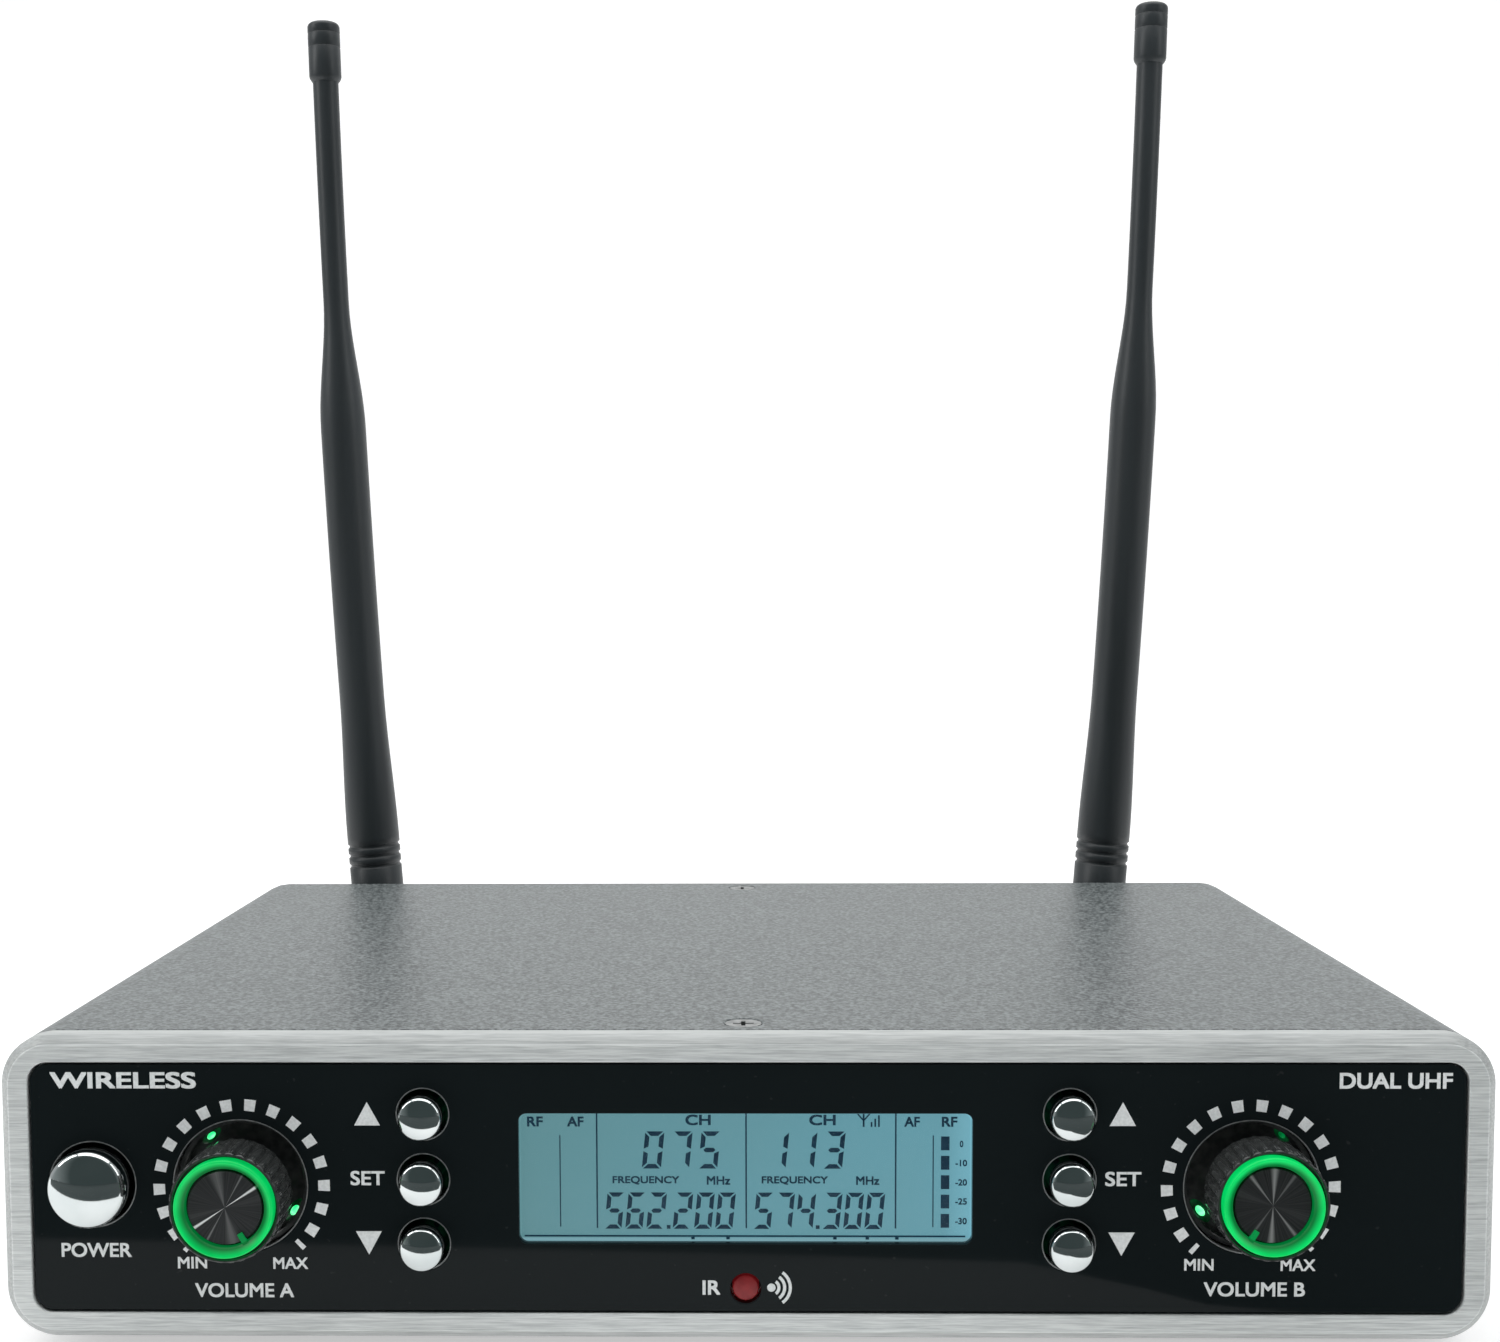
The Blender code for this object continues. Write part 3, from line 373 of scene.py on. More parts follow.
def display_light():
    """The back-lit field: teal, a little brighter to the right and in a strip along its lower edge."""
    shader = Shader("display_field", (0.020, 0.045, 0.055), 0.35)
    split = shader.node("ShaderNodeSeparateXYZ")
    shader.link(shader.place, split.inputs["Vector"])
    across = shader.spread(split.outputs["X"], 0.0, 1.0, -0.032, 0.032)
    cloud = shader.noise((70, 70, 90), 2.0)
    field = shader.mix(across, (0.118, 0.285, 0.315), (0.142, 0.385, 0.475))
    field = shader.mix(shader.spread(cloud, 0.0, 0.35), field, (0.150, 0.305, 0.320))
    edge_glow = shader.spread(split.outputs["X"], 0.0, 0.75, 0.0285, 0.0330)
    field = shader.mix(edge_glow, field, (0.22, 0.54, 0.66))
    strip_top = at(0, 0, WINDOW_CENTRE[1] - WINDOW_SIZE[1] / 2 + 0.00045).z
    strip = shader.spread(split.outputs["Z"], 1.0, 0.0, strip_top - 0.0002, strip_top)
    field = shader.mix(strip, field, (0.22, 0.43, 0.49))
    shader.glow(field, 0.92)
    return shader.material


def display_ink():
    shader = Shader("display_ink", (0.004, 0.014, 0.022), 0.40)
    cloud = shader.noise(400, 2.0)
    ink = shader.ramp(cloud, (0.004, 0.040, 0.085), (0.012, 0.070, 0.135))
    shader.glow(ink, 0.40)
    return shader.material


def clear_pane():
    shader = Shader("clear_pane", (0.02, 0.03, 0.03), 0.04)
    shader.set("Alpha", 0.06)
    haze = shader.noise(80, 2.0)
    shader.rough(shader.spread(haze, 0.03, 0.07))
    return shader.material


def red_window_with_painted_glow():
    shader = Shader("red_window_painted_glow", (0.17, 0.006, 0.008), 0.50)
    cloud = shader.noise(600, 2.0)
    red = shader.ramp(cloud, (0.13, 0.003, 0.005), (0.19, 0.008, 0.010))
    shader.colour(red)
    # The window glows a little though it holds no lamp: painted light that lifts its red.
    shader.glow(red, 0.40)
    return shader.material


def satin_rubber():
    shader = Shader("satin_black_rubber", (0.024, 0.029, 0.032), 0.42)
    grain = shader.noise(1600, 2.0)
    streak = shader.noise((300, 300, 14), 2.0)
    shader.colour(shader.ramp(streak, (0.021, 0.026, 0.029), (0.031, 0.037, 0.041)))
    shader.rough(shader.spread(grain, 0.36, 0.50))
    shader.bump(grain, 0.00003, 0.5)
    return shader.material


def grained(name, low, high, rough, scale, bump, detail=2.0, metallic=0.0, base=None, base_rough=None):
    """A material with one fine grain in its colour, roughness and surface."""
    shader = Shader(name, base or high, base_rough or rough[0], metallic)
    grain = shader.noise(scale, detail)
    shader.colour(shader.ramp(grain, low, high))
    shader.rough(shader.spread(grain, *rough))
    shader.bump(grain, *bump)
    return shader.material


def metal(name, low, high, rough):
    return grained(name, low, high, rough, 900, (0.00001, 0.4), 3.0, 1.0)


def plastic(name, low, high, rough):
    return grained(name, low, high, rough, 1300, (0.00003, 0.4))


def board():
    """Green solder mask with fine copper tracks under it."""
    shader = Shader("circuit_board", (0.010, 0.09, 0.035), 0.35)
    tracks = shader.noise(420, 0.0)
    shader.colour(shader.ramp(tracks, (0.008, 0.07, 0.028), (0.018, 0.15, 0.055), 0.49, 0.51))
    shader.bump(tracks, 0.00003, 0.5)
    return shader.material


ALUMINIUM = brushed_aluminium()
# Share of light kept on the panel's rim and chamfer: their darker copy of the brushed metal is painted shade.
EDGE_SHADE_TINT = 0.68
SHADED_EDGE_METAL = brushed_aluminium("aluminium_edge_painted_shade", EDGE_SHADE_TINT)
CHARCOAL = powder_coat()
BLACK_PAINT = grained(
    "satin_black_paint", (0.014, 0.015, 0.016), (0.032, 0.033, 0.034), (0.36, 0.52), 1500, (0.00004, 0.6),
    base=(0.020, 0.021, 0.022), base_rough=0.42,
)
ACRYLIC = gloss_acrylic()
INK = printed_ink()
CHROME = chrome()
KNOB_BLACK = grained(
    "gloss_black_plastic", (0.026, 0.028, 0.028), (0.048, 0.051, 0.050), (0.07, 0.16), 700, (0.00002, 0.25),
    base=(0.010, 0.010, 0.011), base_rough=0.20,
)
# Light grey that stands for the bright edge of the black openings: a painted highlight.
HOLE_EDGE_HIGHLIGHT = plastic("painted_hole_edge_highlight", (0.16, 0.17, 0.17), (0.26, 0.27, 0.27), (0.25, 0.40))
SPUN = {channel: spun_metal(channel) for channel in CHANNELS}
GREEN = {channel: lit_green(channel) for channel in CHANNELS}
LAMP = lit_green_lamp("green_lamp", (0.02, 0.75, 0.20), (0.30, 1.0, 0.50), 1.6)
FAINT_LAMP = lit_green_lamp("faint_green_lamp", (0.0, 0.10, 0.02), (0.0, 0.22, 0.05), 1.0)
PAINTED_LIGHT_PATCH = lit_green_lamp("painted_patch_of_green_light", (0.0, 0.010, 0.002), (0.0, 0.040, 0.009), 1.0)
FIELD = display_light()
SEGMENT_INK = display_ink()
PANE = clear_pane()
RED = red_window_with_painted_glow()
RUBBER = satin_rubber()
STEEL = metal("plated_steel", (0.50, 0.50, 0.49), (0.60, 0.60, 0.59), (0.24, 0.34))
SCREW = metal("dark_plated_screw", (0.16, 0.165, 0.165), (0.36, 0.365, 0.365), (0.30, 0.45))
NICKEL = metal("nickel_plate", (0.52, 0.51, 0.48), (0.60, 0.59, 0.56), (0.20, 0.28))
MOULDED = plastic("moulded_black_plastic", (0.012, 0.012, 0.013), (0.026, 0.026, 0.028), (0.34, 0.50))
FOOT = plastic("foot_rubber", (0.012, 0.012, 0.012), (0.026, 0.026, 0.026), (0.70, 0.90))
RIBBON = plastic("ribbon_insulation", (0.34, 0.34, 0.32), (0.50, 0.50, 0.47), (0.45, 0.60))
BOARD = board()


# Mesh tools


def add_piece(name, mesh, material, body, replaces=(), sharp=35.0):
    mesh.shade_smooth()
    mesh.set_sharp_from_angle(angle=radians(sharp))
    mesh.materials.clear()
    mesh.materials.append(material)
    obj = link_to_scene(name, mesh)
    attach(obj, body)
    if replaces:
        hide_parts(*replaces)
    return obj


def mesh_from(name, vertices, faces):
    mesh = bpy.data.meshes.new(name)
    mesh.from_pydata([tuple(v) for v in vertices], [], faces)
    mesh.update()
    return mesh


def loft(name, loops, closed=False):
    """A skin over closed loops with the same number of points. Closed joins the last loop to the first."""
    count = len(loops[0])
    vertices = [point for loop in loops for point in loop]
    faces = []
    for row in range(len(loops) if closed else len(loops) - 1):
        after = (row + 1) % len(loops)
        for i in range(count):
            j = (i + 1) % count
            faces.append((row * count + i, row * count + j, after * count + j, after * count + i))
    if not closed:
        faces.append(tuple(reversed(range(count))))
        faces.append(tuple(range((len(loops) - 1) * count, len(loops) * count)))
    return outward(mesh_from(name, vertices, faces))


def rounded_rectangle(width, height, radius, centre, depth, steps=14):
    """Points round a rectangle with round corners, facing the front."""
    points = []
    for corner in range(4):
        sx, sz = ((1, 1), (-1, 1), (-1, -1), (1, -1))[corner]
        cx = centre[0] + sx * (width / 2 - radius)
        cz = centre[1] + sz * (height / 2 - radius)
        for step in range(steps + 1):
            angle = pi / 2 * (corner + step / steps)
            points.append(at(cx + radius * cos(angle), depth, cz + radius * sin(angle)))
    return points


def lathe(name, outline, centre, steps=72, ribs=0, closed=False):
    """A body turned about a front-to-back axis, from points of (radius, depth, and rib depth if ribbed)."""
    cx, cz = centre
    loops = []
    for radius, depth, *rib in outline:
        loop = []
        for step in range(steps):
            angle = 2 * pi * step / steps
            cut = rib[0] * (0.5 + 0.5 * cos(ribs * angle)) ** 2 if rib else 0.0
            r = radius - cut
            loop.append(at(cx + r * sin(angle), depth, cz + r * cos(angle)))
        loops.append(loop)
    return loft(name, loops, closed)


def add_spline(curve, points):
    spline = curve.splines.new("POLY")
    spline.points.add(len(points) - 1)
    for point, (x, y) in zip(spline.points, points):
        point.co = (x, y, 0, 1)
    spline.use_cyclic_u = True


def circle_points(centre, radius, steps=72):
    turns = [2 * pi * i / steps for i in range(steps)]
    return [(centre[0] + radius * cos(t), centre[1] + radius * sin(t)) for t in turns]


def flat_points(loop):
    return [(p.x, p.z - BASE_Z) for p in loop]


def mesh_of_curve(curve, name):
    obj = link_to_scene(name, curve)
    graph = bpy.context.evaluated_depsgraph_get()
    mesh = bpy.data.meshes.new_from_object(obj.evaluated_get(graph))
    mesh.name = name
    bpy.data.objects.remove(obj)
    return mesh


def flat_plate(name, outlines, half, edge):
    """A plate about the XY plane, from an outline and its holes, with softened edges."""
    curve = bpy.data.curves.new(name, "CURVE")
    curve.dimensions = "2D"
    curve.fill_mode = "BOTH"
    for points in outlines:
        add_spline(curve, points)
    curve.extrude = half - edge
    curve.bevel_depth = edge
    curve.bevel_resolution = 2
    curve.offset = -edge
    return mesh_of_curve(curve, name)


def plate(name, outlines, front, back, edge=0.0):
    """A flat plate turned to face the front, between two depths."""
    mesh = flat_plate(name, outlines, (back - front) / 2, edge)
    mid = (front + back) / 2
    for vertex in mesh.vertices:
        x, y, z = vertex.co
        vertex.co = at(x, mid - z, y)
    return mesh


INK_FRONT = INSERT_FACE - 0.00003
INK_BACK = INSERT_FACE + 0.00001


def flat_shapes(name, outlines, front=INK_FRONT, back=INK_BACK):
    """Thin printed shapes, each a convex outline of (x, height) points."""
    vertices, faces = [], []
    for points in outlines:
        first, count = len(vertices), len(points)
        vertices += [at(x, front, z) for x, z in points]
        vertices += [at(x, back, z) for x, z in points]
        faces.append(tuple(range(first, first + count)))
        faces.append(tuple(reversed(range(first + count, first + 2 * count))))
        for i in range(count):
            j = (i + 1) % count
            faces.append((first + i, first + count + i, first + count + j, first + j))
    mesh = mesh_from(name, vertices, faces)
    return outward(mesh)


def outward(mesh):
    builder = bmesh.new()
    builder.from_mesh(mesh)
    bmesh.ops.recalc_face_normals(builder, faces=builder.faces)
    builder.to_mesh(mesh)
    builder.free()
    return mesh


def text_mesh(name, words, left, right, middle, cap, front, back, weight=0.02, rear=False):
    """Lettering stretched to fit between left and right, cap high, about the middle height.

    Boldness comes from copies shifted by the weight, a share of the letter size.
    """
    curve = bpy.data.curves.new(name, "FONT")
    curve.body = words
    curve.size = 1.0
    curve.extrude = 0.5
    curve.resolution_u = 5
    mesh = mesh_of_curve(curve, name)
    copies = []
    for index, (dx, dy) in enumerate(((-1, -1), (1, -1), (1, 1), (-1, 1), (0, 0))):
        copy = mesh.copy()
        for vertex in copy.vertices:
            vertex.co.x += dx * weight
            vertex.co.y += dy * weight
            vertex.co.z *= 1 + 0.02 * index
        copies.append(copy)
    mesh = join_meshes(name, copies)
    xs = [v.co.x for v in mesh.vertices]
    ys = [v.co.y for v in mesh.vertices]
    x0, x1, y0, y1 = min(xs), max(xs), min(ys), max(ys)
    for vertex in mesh.vertices:
        x, y, z = vertex.co
        share = (x - x0) / (x1 - x0)
        across = right + (left - right) * share if rear else left + (right - left) * share
        height = middle + cap * ((y - y0) / (y1 - y0) - 0.5)
        depth = back + (front - back) * (z / 1.08 + 0.5)
        vertex.co = at(across, depth, height)
    return outward(mesh)


def join_meshes(name, meshes):
    builder = bmesh.new()
    for mesh in meshes:
        builder.from_mesh(mesh)
    joined = bpy.data.meshes.new(name)
    builder.to_mesh(joined)
    builder.free()
    return joined


# Front panel


def make_front_panel():
    width, height = PANEL_HIGH.x - PANEL_LOW.x, PANEL_HIGH.z - PANEL_LOW.z
    pocket_width, pocket_height = INSERT_SIZE[0] + 2 * GAP, INSERT_SIZE[1] + 2 * GAP
    ease = 0.00012
    rim = (width, height, PANEL_CORNER, (0.0, height / 2))
    pocket = (pocket_width, pocket_height, POCKET_CORNER, INSERT_MIDDLE)
    section = (
        (rim, 0.0001, PANEL_THICKNESS),
        (rim, 0, PANEL_THICKNESS - 0.0001),
        (rim, 0, PANEL_CHAMFER + ease),
        (rim, ease * 0.7, PANEL_CHAMFER - ease * 0.4),
        (rim, PANEL_CHAMFER - ease * 0.4, ease * 0.7),
        (rim, PANEL_CHAMFER + ease, 0),
        (pocket, -ease, 0),
        (pocket, 0, ease),
        (pocket, 0, POCKET_DEPTH),
        (pocket, 0, PANEL_THICKNESS),
    )
    loops = []
    for (wide, high, corner, middle), inset, depth in section:
        wide, high = wide - 2 * inset, high - 2 * inset
        loops.append(rounded_rectangle(wide, high, corner - inset, middle, depth, 20))
    mesh = loft("panel_frame", loops, closed=True)
    obj = add_piece("panel_frame", mesh, ALUMINIUM, "case", ["front_panel"], 25)
    obj.data.materials.append(SHADED_EDGE_METAL)
    # The rim's outer faces and chamfer take the darkened copy, which paints shade on them.
    for face in obj.data.polygons:
        depth = depth_of(face.center.y)
        lift = face.center.z - BASE_Z - height / 2
        faces_out = face.center.x * face.normal.x + lift * face.normal.z > 0
        if 0.0001 < depth < PANEL_THICKNESS - 0.0001 and face.normal.y < 0.9 and faces_out:
            face.material_index = 1
    web = rounded_rectangle(
        pocket_width - GAP, pocket_height - GAP, POCKET_CORNER - GAP / 2, INSERT_MIDDLE, 0, 8
    )
    window = rounded_rectangle(MODULE_SIZE[0] + 0.0009, MODULE_SIZE[1] + 0.0009, 0.001, WINDOW_CENTRE, 0, 4)
    mesh = plate(
        "panel_web",
        [flat_points(web), flat_points(window), *hole_outlines(0.0001)],
        POCKET_DEPTH,
        PANEL_THICKNESS,
    )
    add_piece("panel_web", mesh, ALUMINIUM, "case")


# The insert's round openings that have a painted highlight round their edge: node in the middle, radius and
# outline points
HIGHLIGHT_EDGED_HOLES = [("power_button", POWER_HOLE, 72)]
HIGHLIGHT_EDGED_HOLES += [(f"button_{key}", KEY_HOLE, 72) for key in KEYS]
HIGHLIGHT_EDGED_HOLES += [(f"light_well_{channel}", KNOB_WELL_RADIUS, 96) for channel in CHANNELS]


def hole_outlines(extra=0.0):
    for node, radius, steps in [*HIGHLIGHT_EDGED_HOLES, ("infrared_window", INFRARED_HOLE, 48)]:
        yield circle_points(place_of(node), radius + extra, steps)


def make_insert():
    outline = flat_points(rounded_rectangle(*INSERT_SIZE, POCKET_CORNER - GAP, INSERT_MIDDLE, 0, 16))
    window = flat_points(rounded_rectangle(*WINDOW_SIZE, WINDOW_CORNER, WINDOW_CENTRE, 0, 10))
    mesh = plate("insert_sheet", [outline, window, *hole_outlines()], INSERT_FACE, INSERT_BACK, 0.00013)
    add_piece("insert_sheet", mesh, ACRYLIC, "case", ["front_insert"], 50)


# Printed legends

DIAL_RADIUS = 0.01180
DIAL_TURN = radians(-1.42)
DIAL_SPACING = radians(16.5)
TICK_HALF = 0.00083


def turned_outline(centre, turn, corners):
    """Corners given by (distance out, distance across), turned clockwise from upright about a centre."""
    out = Vector((sin(turn), cos(turn)))
    side = Vector((cos(turn), -sin(turn)))
    points = [out * radial + side * across for radial, across in corners]
    return [(centre[0] + point.x, centre[1] + point.y) for point in points]


def dial_outlines(centre):
    """Sixteen square marks round a knob, and a half-width one at each end."""
    angles = [DIAL_SPACING * (i - 7.5) for i in range(16)]
    marks = [(angle, 1.0) for angle in angles] + [(radians(side * 137.0), 0.42) for side in (-1, 1)]
    for angle, share in marks:
        corners = ((-1, -0.88), (-1, 0.88), (1, 1.0), (1, -1.0))
        corners = [(DIAL_RADIUS + out * TICK_HALF, across * share * TICK_HALF) for out, across in corners]
        yield turned_outline(centre, angle + DIAL_TURN, corners)


def arc_outlines(centre, radius, thickness, half_angle, steps=12):
    """Small quadrilaterals that make up a printed arc opening to the right."""
    for i in range(steps):
        a, b = (half_angle * (2 * k / steps - 1) for k in (i, i + 1))
        yield [
            (centre[0] + r * cos(t), centre[1] + r * sin(t))
            for r, t in (
                (radius - thickness / 2, a),
                (radius + thickness / 2, a),
                (radius + thickness / 2, b),
                (radius - thickness / 2, b),
            )
        ]


def triangle(centre_x, centroid, direction):
    base = centroid - direction * 0.00113
    tip = centroid + direction * 0.00227
    return [(centre_x - 0.00185, base), (centre_x + 0.00185, base), (centre_x, tip)]


def make_legends():
    shapes = []
    for side in (-1, 1):
        shapes += dial_outlines((side * 0.0716, 0.02227))
        shapes.append(triangle(side * 0.0535, 0.03224, 1))
        shapes.append(triangle(side * 0.0535, 0.01463, -1))
    dot = (0.00389, 0.00765)
    shapes.append(circle_points(dot, 0.0006, 32))
    for radius in (0.00108, 0.00190, 0.00271):
        shapes += arc_outlines(dot, radius, 0.00044, radians(54))
    add_piece("printed_marks", flat_shapes("printed_marks", shapes), INK, "case")

    words = (
        ("power", "POWER", -0.0977, -0.0876, 0.01295, 0.0021),
        ("volume_a", "VOLUME A", -0.0786, -0.0644, 0.0071, 0.0021),
        ("volume_b", "VOLUME B", 0.0652, 0.0795, 0.00755, 0.0021),
        ("min_a", "MIN", -0.0810, -0.0768, 0.01112, 0.0017),
        ("max_a", "MAX", -0.0673, -0.0623, 0.01108, 0.0017),
        ("min_b", "MIN", 0.06240, 0.06655, 0.01110, 0.0017),
        ("max_b", "MAX", 0.0760, 0.0809, 0.01108, 0.0017),
        ("set_a", "SET", -0.0560, -0.0511, 0.02348, 0.0021),
        ("set_b", "SET", 0.0511, 0.0562, 0.02348, 0.0021),
        ("infrared", "IR", -0.00592, -0.00338, 0.00764, 0.0021),
        ("title_left", "WIRELESS", -0.0987, -0.0778, 0.03762, 0.0024),
        ("title_right", "DUAL UHF", 0.0838, 0.0996, 0.0376, 0.0023),
    )
    bold = {"infrared": 0.024, "title_left": 0.026, "title_right": 0.026}
    for name, text, left, right, middle, cap in words:
        name, weight = f"legend_{name}", bold.get(name, 0.020)
        mesh = text_mesh(name, text, left, right, middle, cap, INK_FRONT, INK_BACK, weight)
        add_piece(name, mesh, INK, "case")


# Display

# The lit segments of the digits 0 to 7
SEGMENTS = dict(zip("01234567", "abcdef bc abged abgcd fgbc afgcd afgedc abc".split()))
DISPLAY_SLANT = 0.10
INK_DEPTH = POCKET_DEPTH - 0.00012


def digit_outlines(digit, left, base, width, height, thick):
    """The lit segments of one slanted seven-segment digit."""
    gap = thick * 0.26
    half = height / 2
    inner = width - gap - thick
    shapes = {
        "a": [(gap, height), (width - gap, height), (inner, height - thick), (gap + thick, height - thick)],
        "d": [(gap + thick, thick), (inner, thick), (width - gap, 0), (gap, 0)],
        "g": [
            (gap + thick * 0.5, half), (gap + thick, half + thick / 2), (inner, half + thick / 2),
            (width - gap - thick * 0.5, half), (inner, half - thick / 2), (gap + thick, half - thick / 2),
        ],
    }
    side = half + thick / 2 + gap
    upper = [(0, height - gap), (thick, height - gap - thick), (thick, side), (0, half + gap)]
    lower = [(0, half - gap), (thick, half - thick / 2 - gap), (thick, gap + thick), (0, gap)]
    shapes["f"], shapes["e"] = upper, lower
    shapes["b"] = [(width - x, y) for x, y in upper]
    shapes["c"] = [(width - x, y) for x, y in lower]
    for letter in SEGMENTS[digit]:
        yield [(left + x + DISPLAY_SLANT * y, base + y) for x, y in shapes[letter]]


def make_display():
    """Everything on the display is placed from the window's upper left corner, in millimetres."""
    left = WINDOW_CENTRE[0] - WINDOW_SIZE[0] / 2
    top = WINDOW_CENTRE[1] + WINDOW_SIZE[1] / 2

    def x(u):
        return left + (1.0055 * u - 0.23) * MM

    def z(v):
        return top - (0.988 * v + 0.42) * MM

    shapes = []

    def bar(u0, u1, v0, v1):
        shapes.append([(x(u), z(v)) for u, v in ((u0, v0), (u1, v0), (u1, v1), (u0, v1))])

    for u in (11.2, 32.4, 53.6):
        bar(u - 0.11, u + 0.11, 16.9, -0.4)
    for u in (5.95, 58.9):
        bar(u - 0.08, u + 0.08, 16.7, 3.2)
    bar(0.8, 63.5, 18.18, 17.94)
    for u in (24.8, 29.8, 45.0, 49.6, 53.8):
        bar(u - 0.25, u + 0.25, 18.55, 18.2)
    for row in range(5):
        v = 3.35 + 2.85 * row
        bar(60.0, 61.2, v + 2.03, v)
    small, large = (2.74, 5.4, 0.66), (2.47, 5.3, 0.62)
    for text, centres, base, size in (
        ("075", (19.2, 23.2, 27.2), 8.1, small),
        ("113", (36.9, 40.9, 44.9), 8.1, small),
        ("562200", (13.65, 16.65, 19.65, 23.40, 26.45, 29.45), 17.0, large),
        ("574300", (34.85, 37.85, 40.85, 44.60, 47.65, 50.65), 17.0, large),
    ):
        width, height, thick = (value * MM for value in size)
        for digit, centre in zip(text, centres):
            start = x(centre) - width / 2 - DISPLAY_SLANT * height / 2
            shapes += digit_outlines(digit, start, z(base), width, height, thick)
    for u in (21.35, 42.55):
        bar(u - 0.27, u + 0.27, 17.0, 16.45)
    for index, height in enumerate((0.7, 1.2, 1.7)):
        u = 50.05 + 0.52 * index
        bar(u, u + 0.24, 1.95, 1.95 - height)
    for u0, u1, v0, v1 in ((48.2, 49.05, 0.05, 1.05), (49.9, 49.05, 0.05, 1.05), (49.05, 49.05, 0.05, 1.95)):
        corners = ((u0 - 0.13, v0), (u0 + 0.13, v0), (u1 + 0.13, v1), (u1 - 0.13, v1))
        shapes.append([(x(u), z(v)) for u, v in corners])
    ink_back = INK_DEPTH + 0.00003
    parts = [flat_shapes("display_segments", shapes, INK_DEPTH, ink_back)]

    words = (
        ("RF", 1.3, 3.55, 1.2, 1.45), ("AF", 7.0, 9.35, 1.2, 1.45),
        ("CH", 23.8, 27.4, 0.95, 1.55), ("CH", 41.35, 45.1, 0.95, 1.55),
        ("AF", 54.8, 57.0, 1.2, 1.45), ("RF", 60.1, 62.3, 1.2, 1.45),
        ("FREQUENCY", 13.4, 22.9, 9.85, 1.25), ("MHz", 26.8, 30.15, 9.85, 1.25),
        ("FREQUENCY", 34.6, 44.0, 9.85, 1.25), ("MHz", 48.0, 51.3, 9.85, 1.25),
        ("0", 62.65, 63.15, 4.45, 0.95), ("-10", 62.05, 63.7, 7.25, 0.95),
        ("-20", 62.05, 63.7, 10.1, 0.95), ("-25", 62.05, 63.7, 12.9, 0.95),
        ("-30", 62.05, 63.7, 15.8, 0.95),
    )
    for text, u0, u1, v, cap in words:
        ends = (x(u0), x(u1))
        parts.append(text_mesh("display_word", text, *ends, z(v), cap * MM, INK_DEPTH, ink_back, 0.026))
    mesh = join_meshes("display_readings", parts)
    add_piece("display_readings", mesh, SEGMENT_INK, "case")

    low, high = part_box("display_window")
    outline = flat_points(
        rounded_rectangle(high.x - low.x, high.z - low.z, WINDOW_CORNER - GAP, WINDOW_CENTRE, 0, 10)
    )
    mesh = plate("window_pane", [outline], depth_of(low.y), depth_of(high.y), 0.0001)
    add_piece("window_pane", mesh, PANE, "case", ["display_window"], 50)


# Knobs

RIBS = 30
POINTER_TURNS = {"a": radians(150), "b": radians(-148)}


def make_knob(channel):
    body = f"knob_{channel}"
    centre = KNOB_CENTRES[channel]

    def proud(value):
        return INSERT_FACE - value * MM

    grip = [
        (3.2, 0.35), (7.05, 0.35), (7.15, 0.45), (7.15, 1.65), (7.70, 1.85, 0.10), (7.85, 2.15, 0.42),
        (7.88, 4.5, 0.46), (7.88, 8.1, 0.46), (7.86, 8.9, 0.40), (7.78, 9.3, 0.16), (7.66, 9.52),
        (7.40, 9.58), (7.32, 9.50), (7.32, 8.12), (3.2, 8.12),
    ]
    grip = [(r * MM, proud(p), *(cut * MM for cut in rib)) for r, p, *rib in grip]
    mesh = lathe(f"knob_grip_{channel}", grip, centre, RIBS * 10, RIBS)
    add_piece(f"knob_grip_{channel}", mesh, KNOB_BLACK, body, [f"knob_body_{channel}"], 60)

    ring = [
        (5.52, 8.42), (5.50, 9.26), (5.58, 9.38), (5.80, 9.58), (6.05, 9.81), (6.30, 10.03),
        (6.52, 10.19), (6.66, 10.27), (6.80, 10.22), (6.88, 10.07), (6.90, 9.88), (6.90, 8.42),
    ]
    mesh = lathe(f"glow_ring_{channel}", [(r * MM, proud(p)) for r, p in ring], centre, 96, closed=True)
    green = GREEN[channel]
    add_piece(f"glow_ring_{channel}", mesh, green, body, [f"light_ring_{channel}"], 50)

    corners = ((4.1, -0.34), (4.1, 0.34), (5.75, 0.38), (5.75, -0.38))
    corners = [(radial * MM, across * MM) for radial, across in corners]
    outline = turned_outline(centre, POINTER_TURNS[channel], corners)
    mesh = flat_shapes(f"pointer_{channel}", [outline], proud(9.58), proud(9.0))
    add_piece(f"pointer_{channel}", mesh, green, body)

    face = [(0.001, 9.19)]
    for step in range(24):
        face.append((0.12 + 0.204 * (step + 0.5), 9.185 + (0.005 if step % 2 else -0.005)))
    face += [(5.12, 9.19), (5.19, 9.12), (5.19, 8.42), (0.001, 8.42)]
    face = [(r * MM, proud(p)) for r, p in face]
    mesh = lathe(f"spun_face_{channel}", face, centre, 96)
    add_piece(f"spun_face_{channel}", mesh, SPUN[channel], body, [f"knob_face_{channel}"], 40)


# The lamps in each well: place from the well's centre, half width, and whether it is bright
LAMP_PLACES = {
    "a": ((-5.3, 6.0, 0.42, True), (6.6, -5.0, 0.50, True)),
    "b": ((-6.1, -4.9, 0.52, True), (5.4, 6.2, 0.34, False)),
}


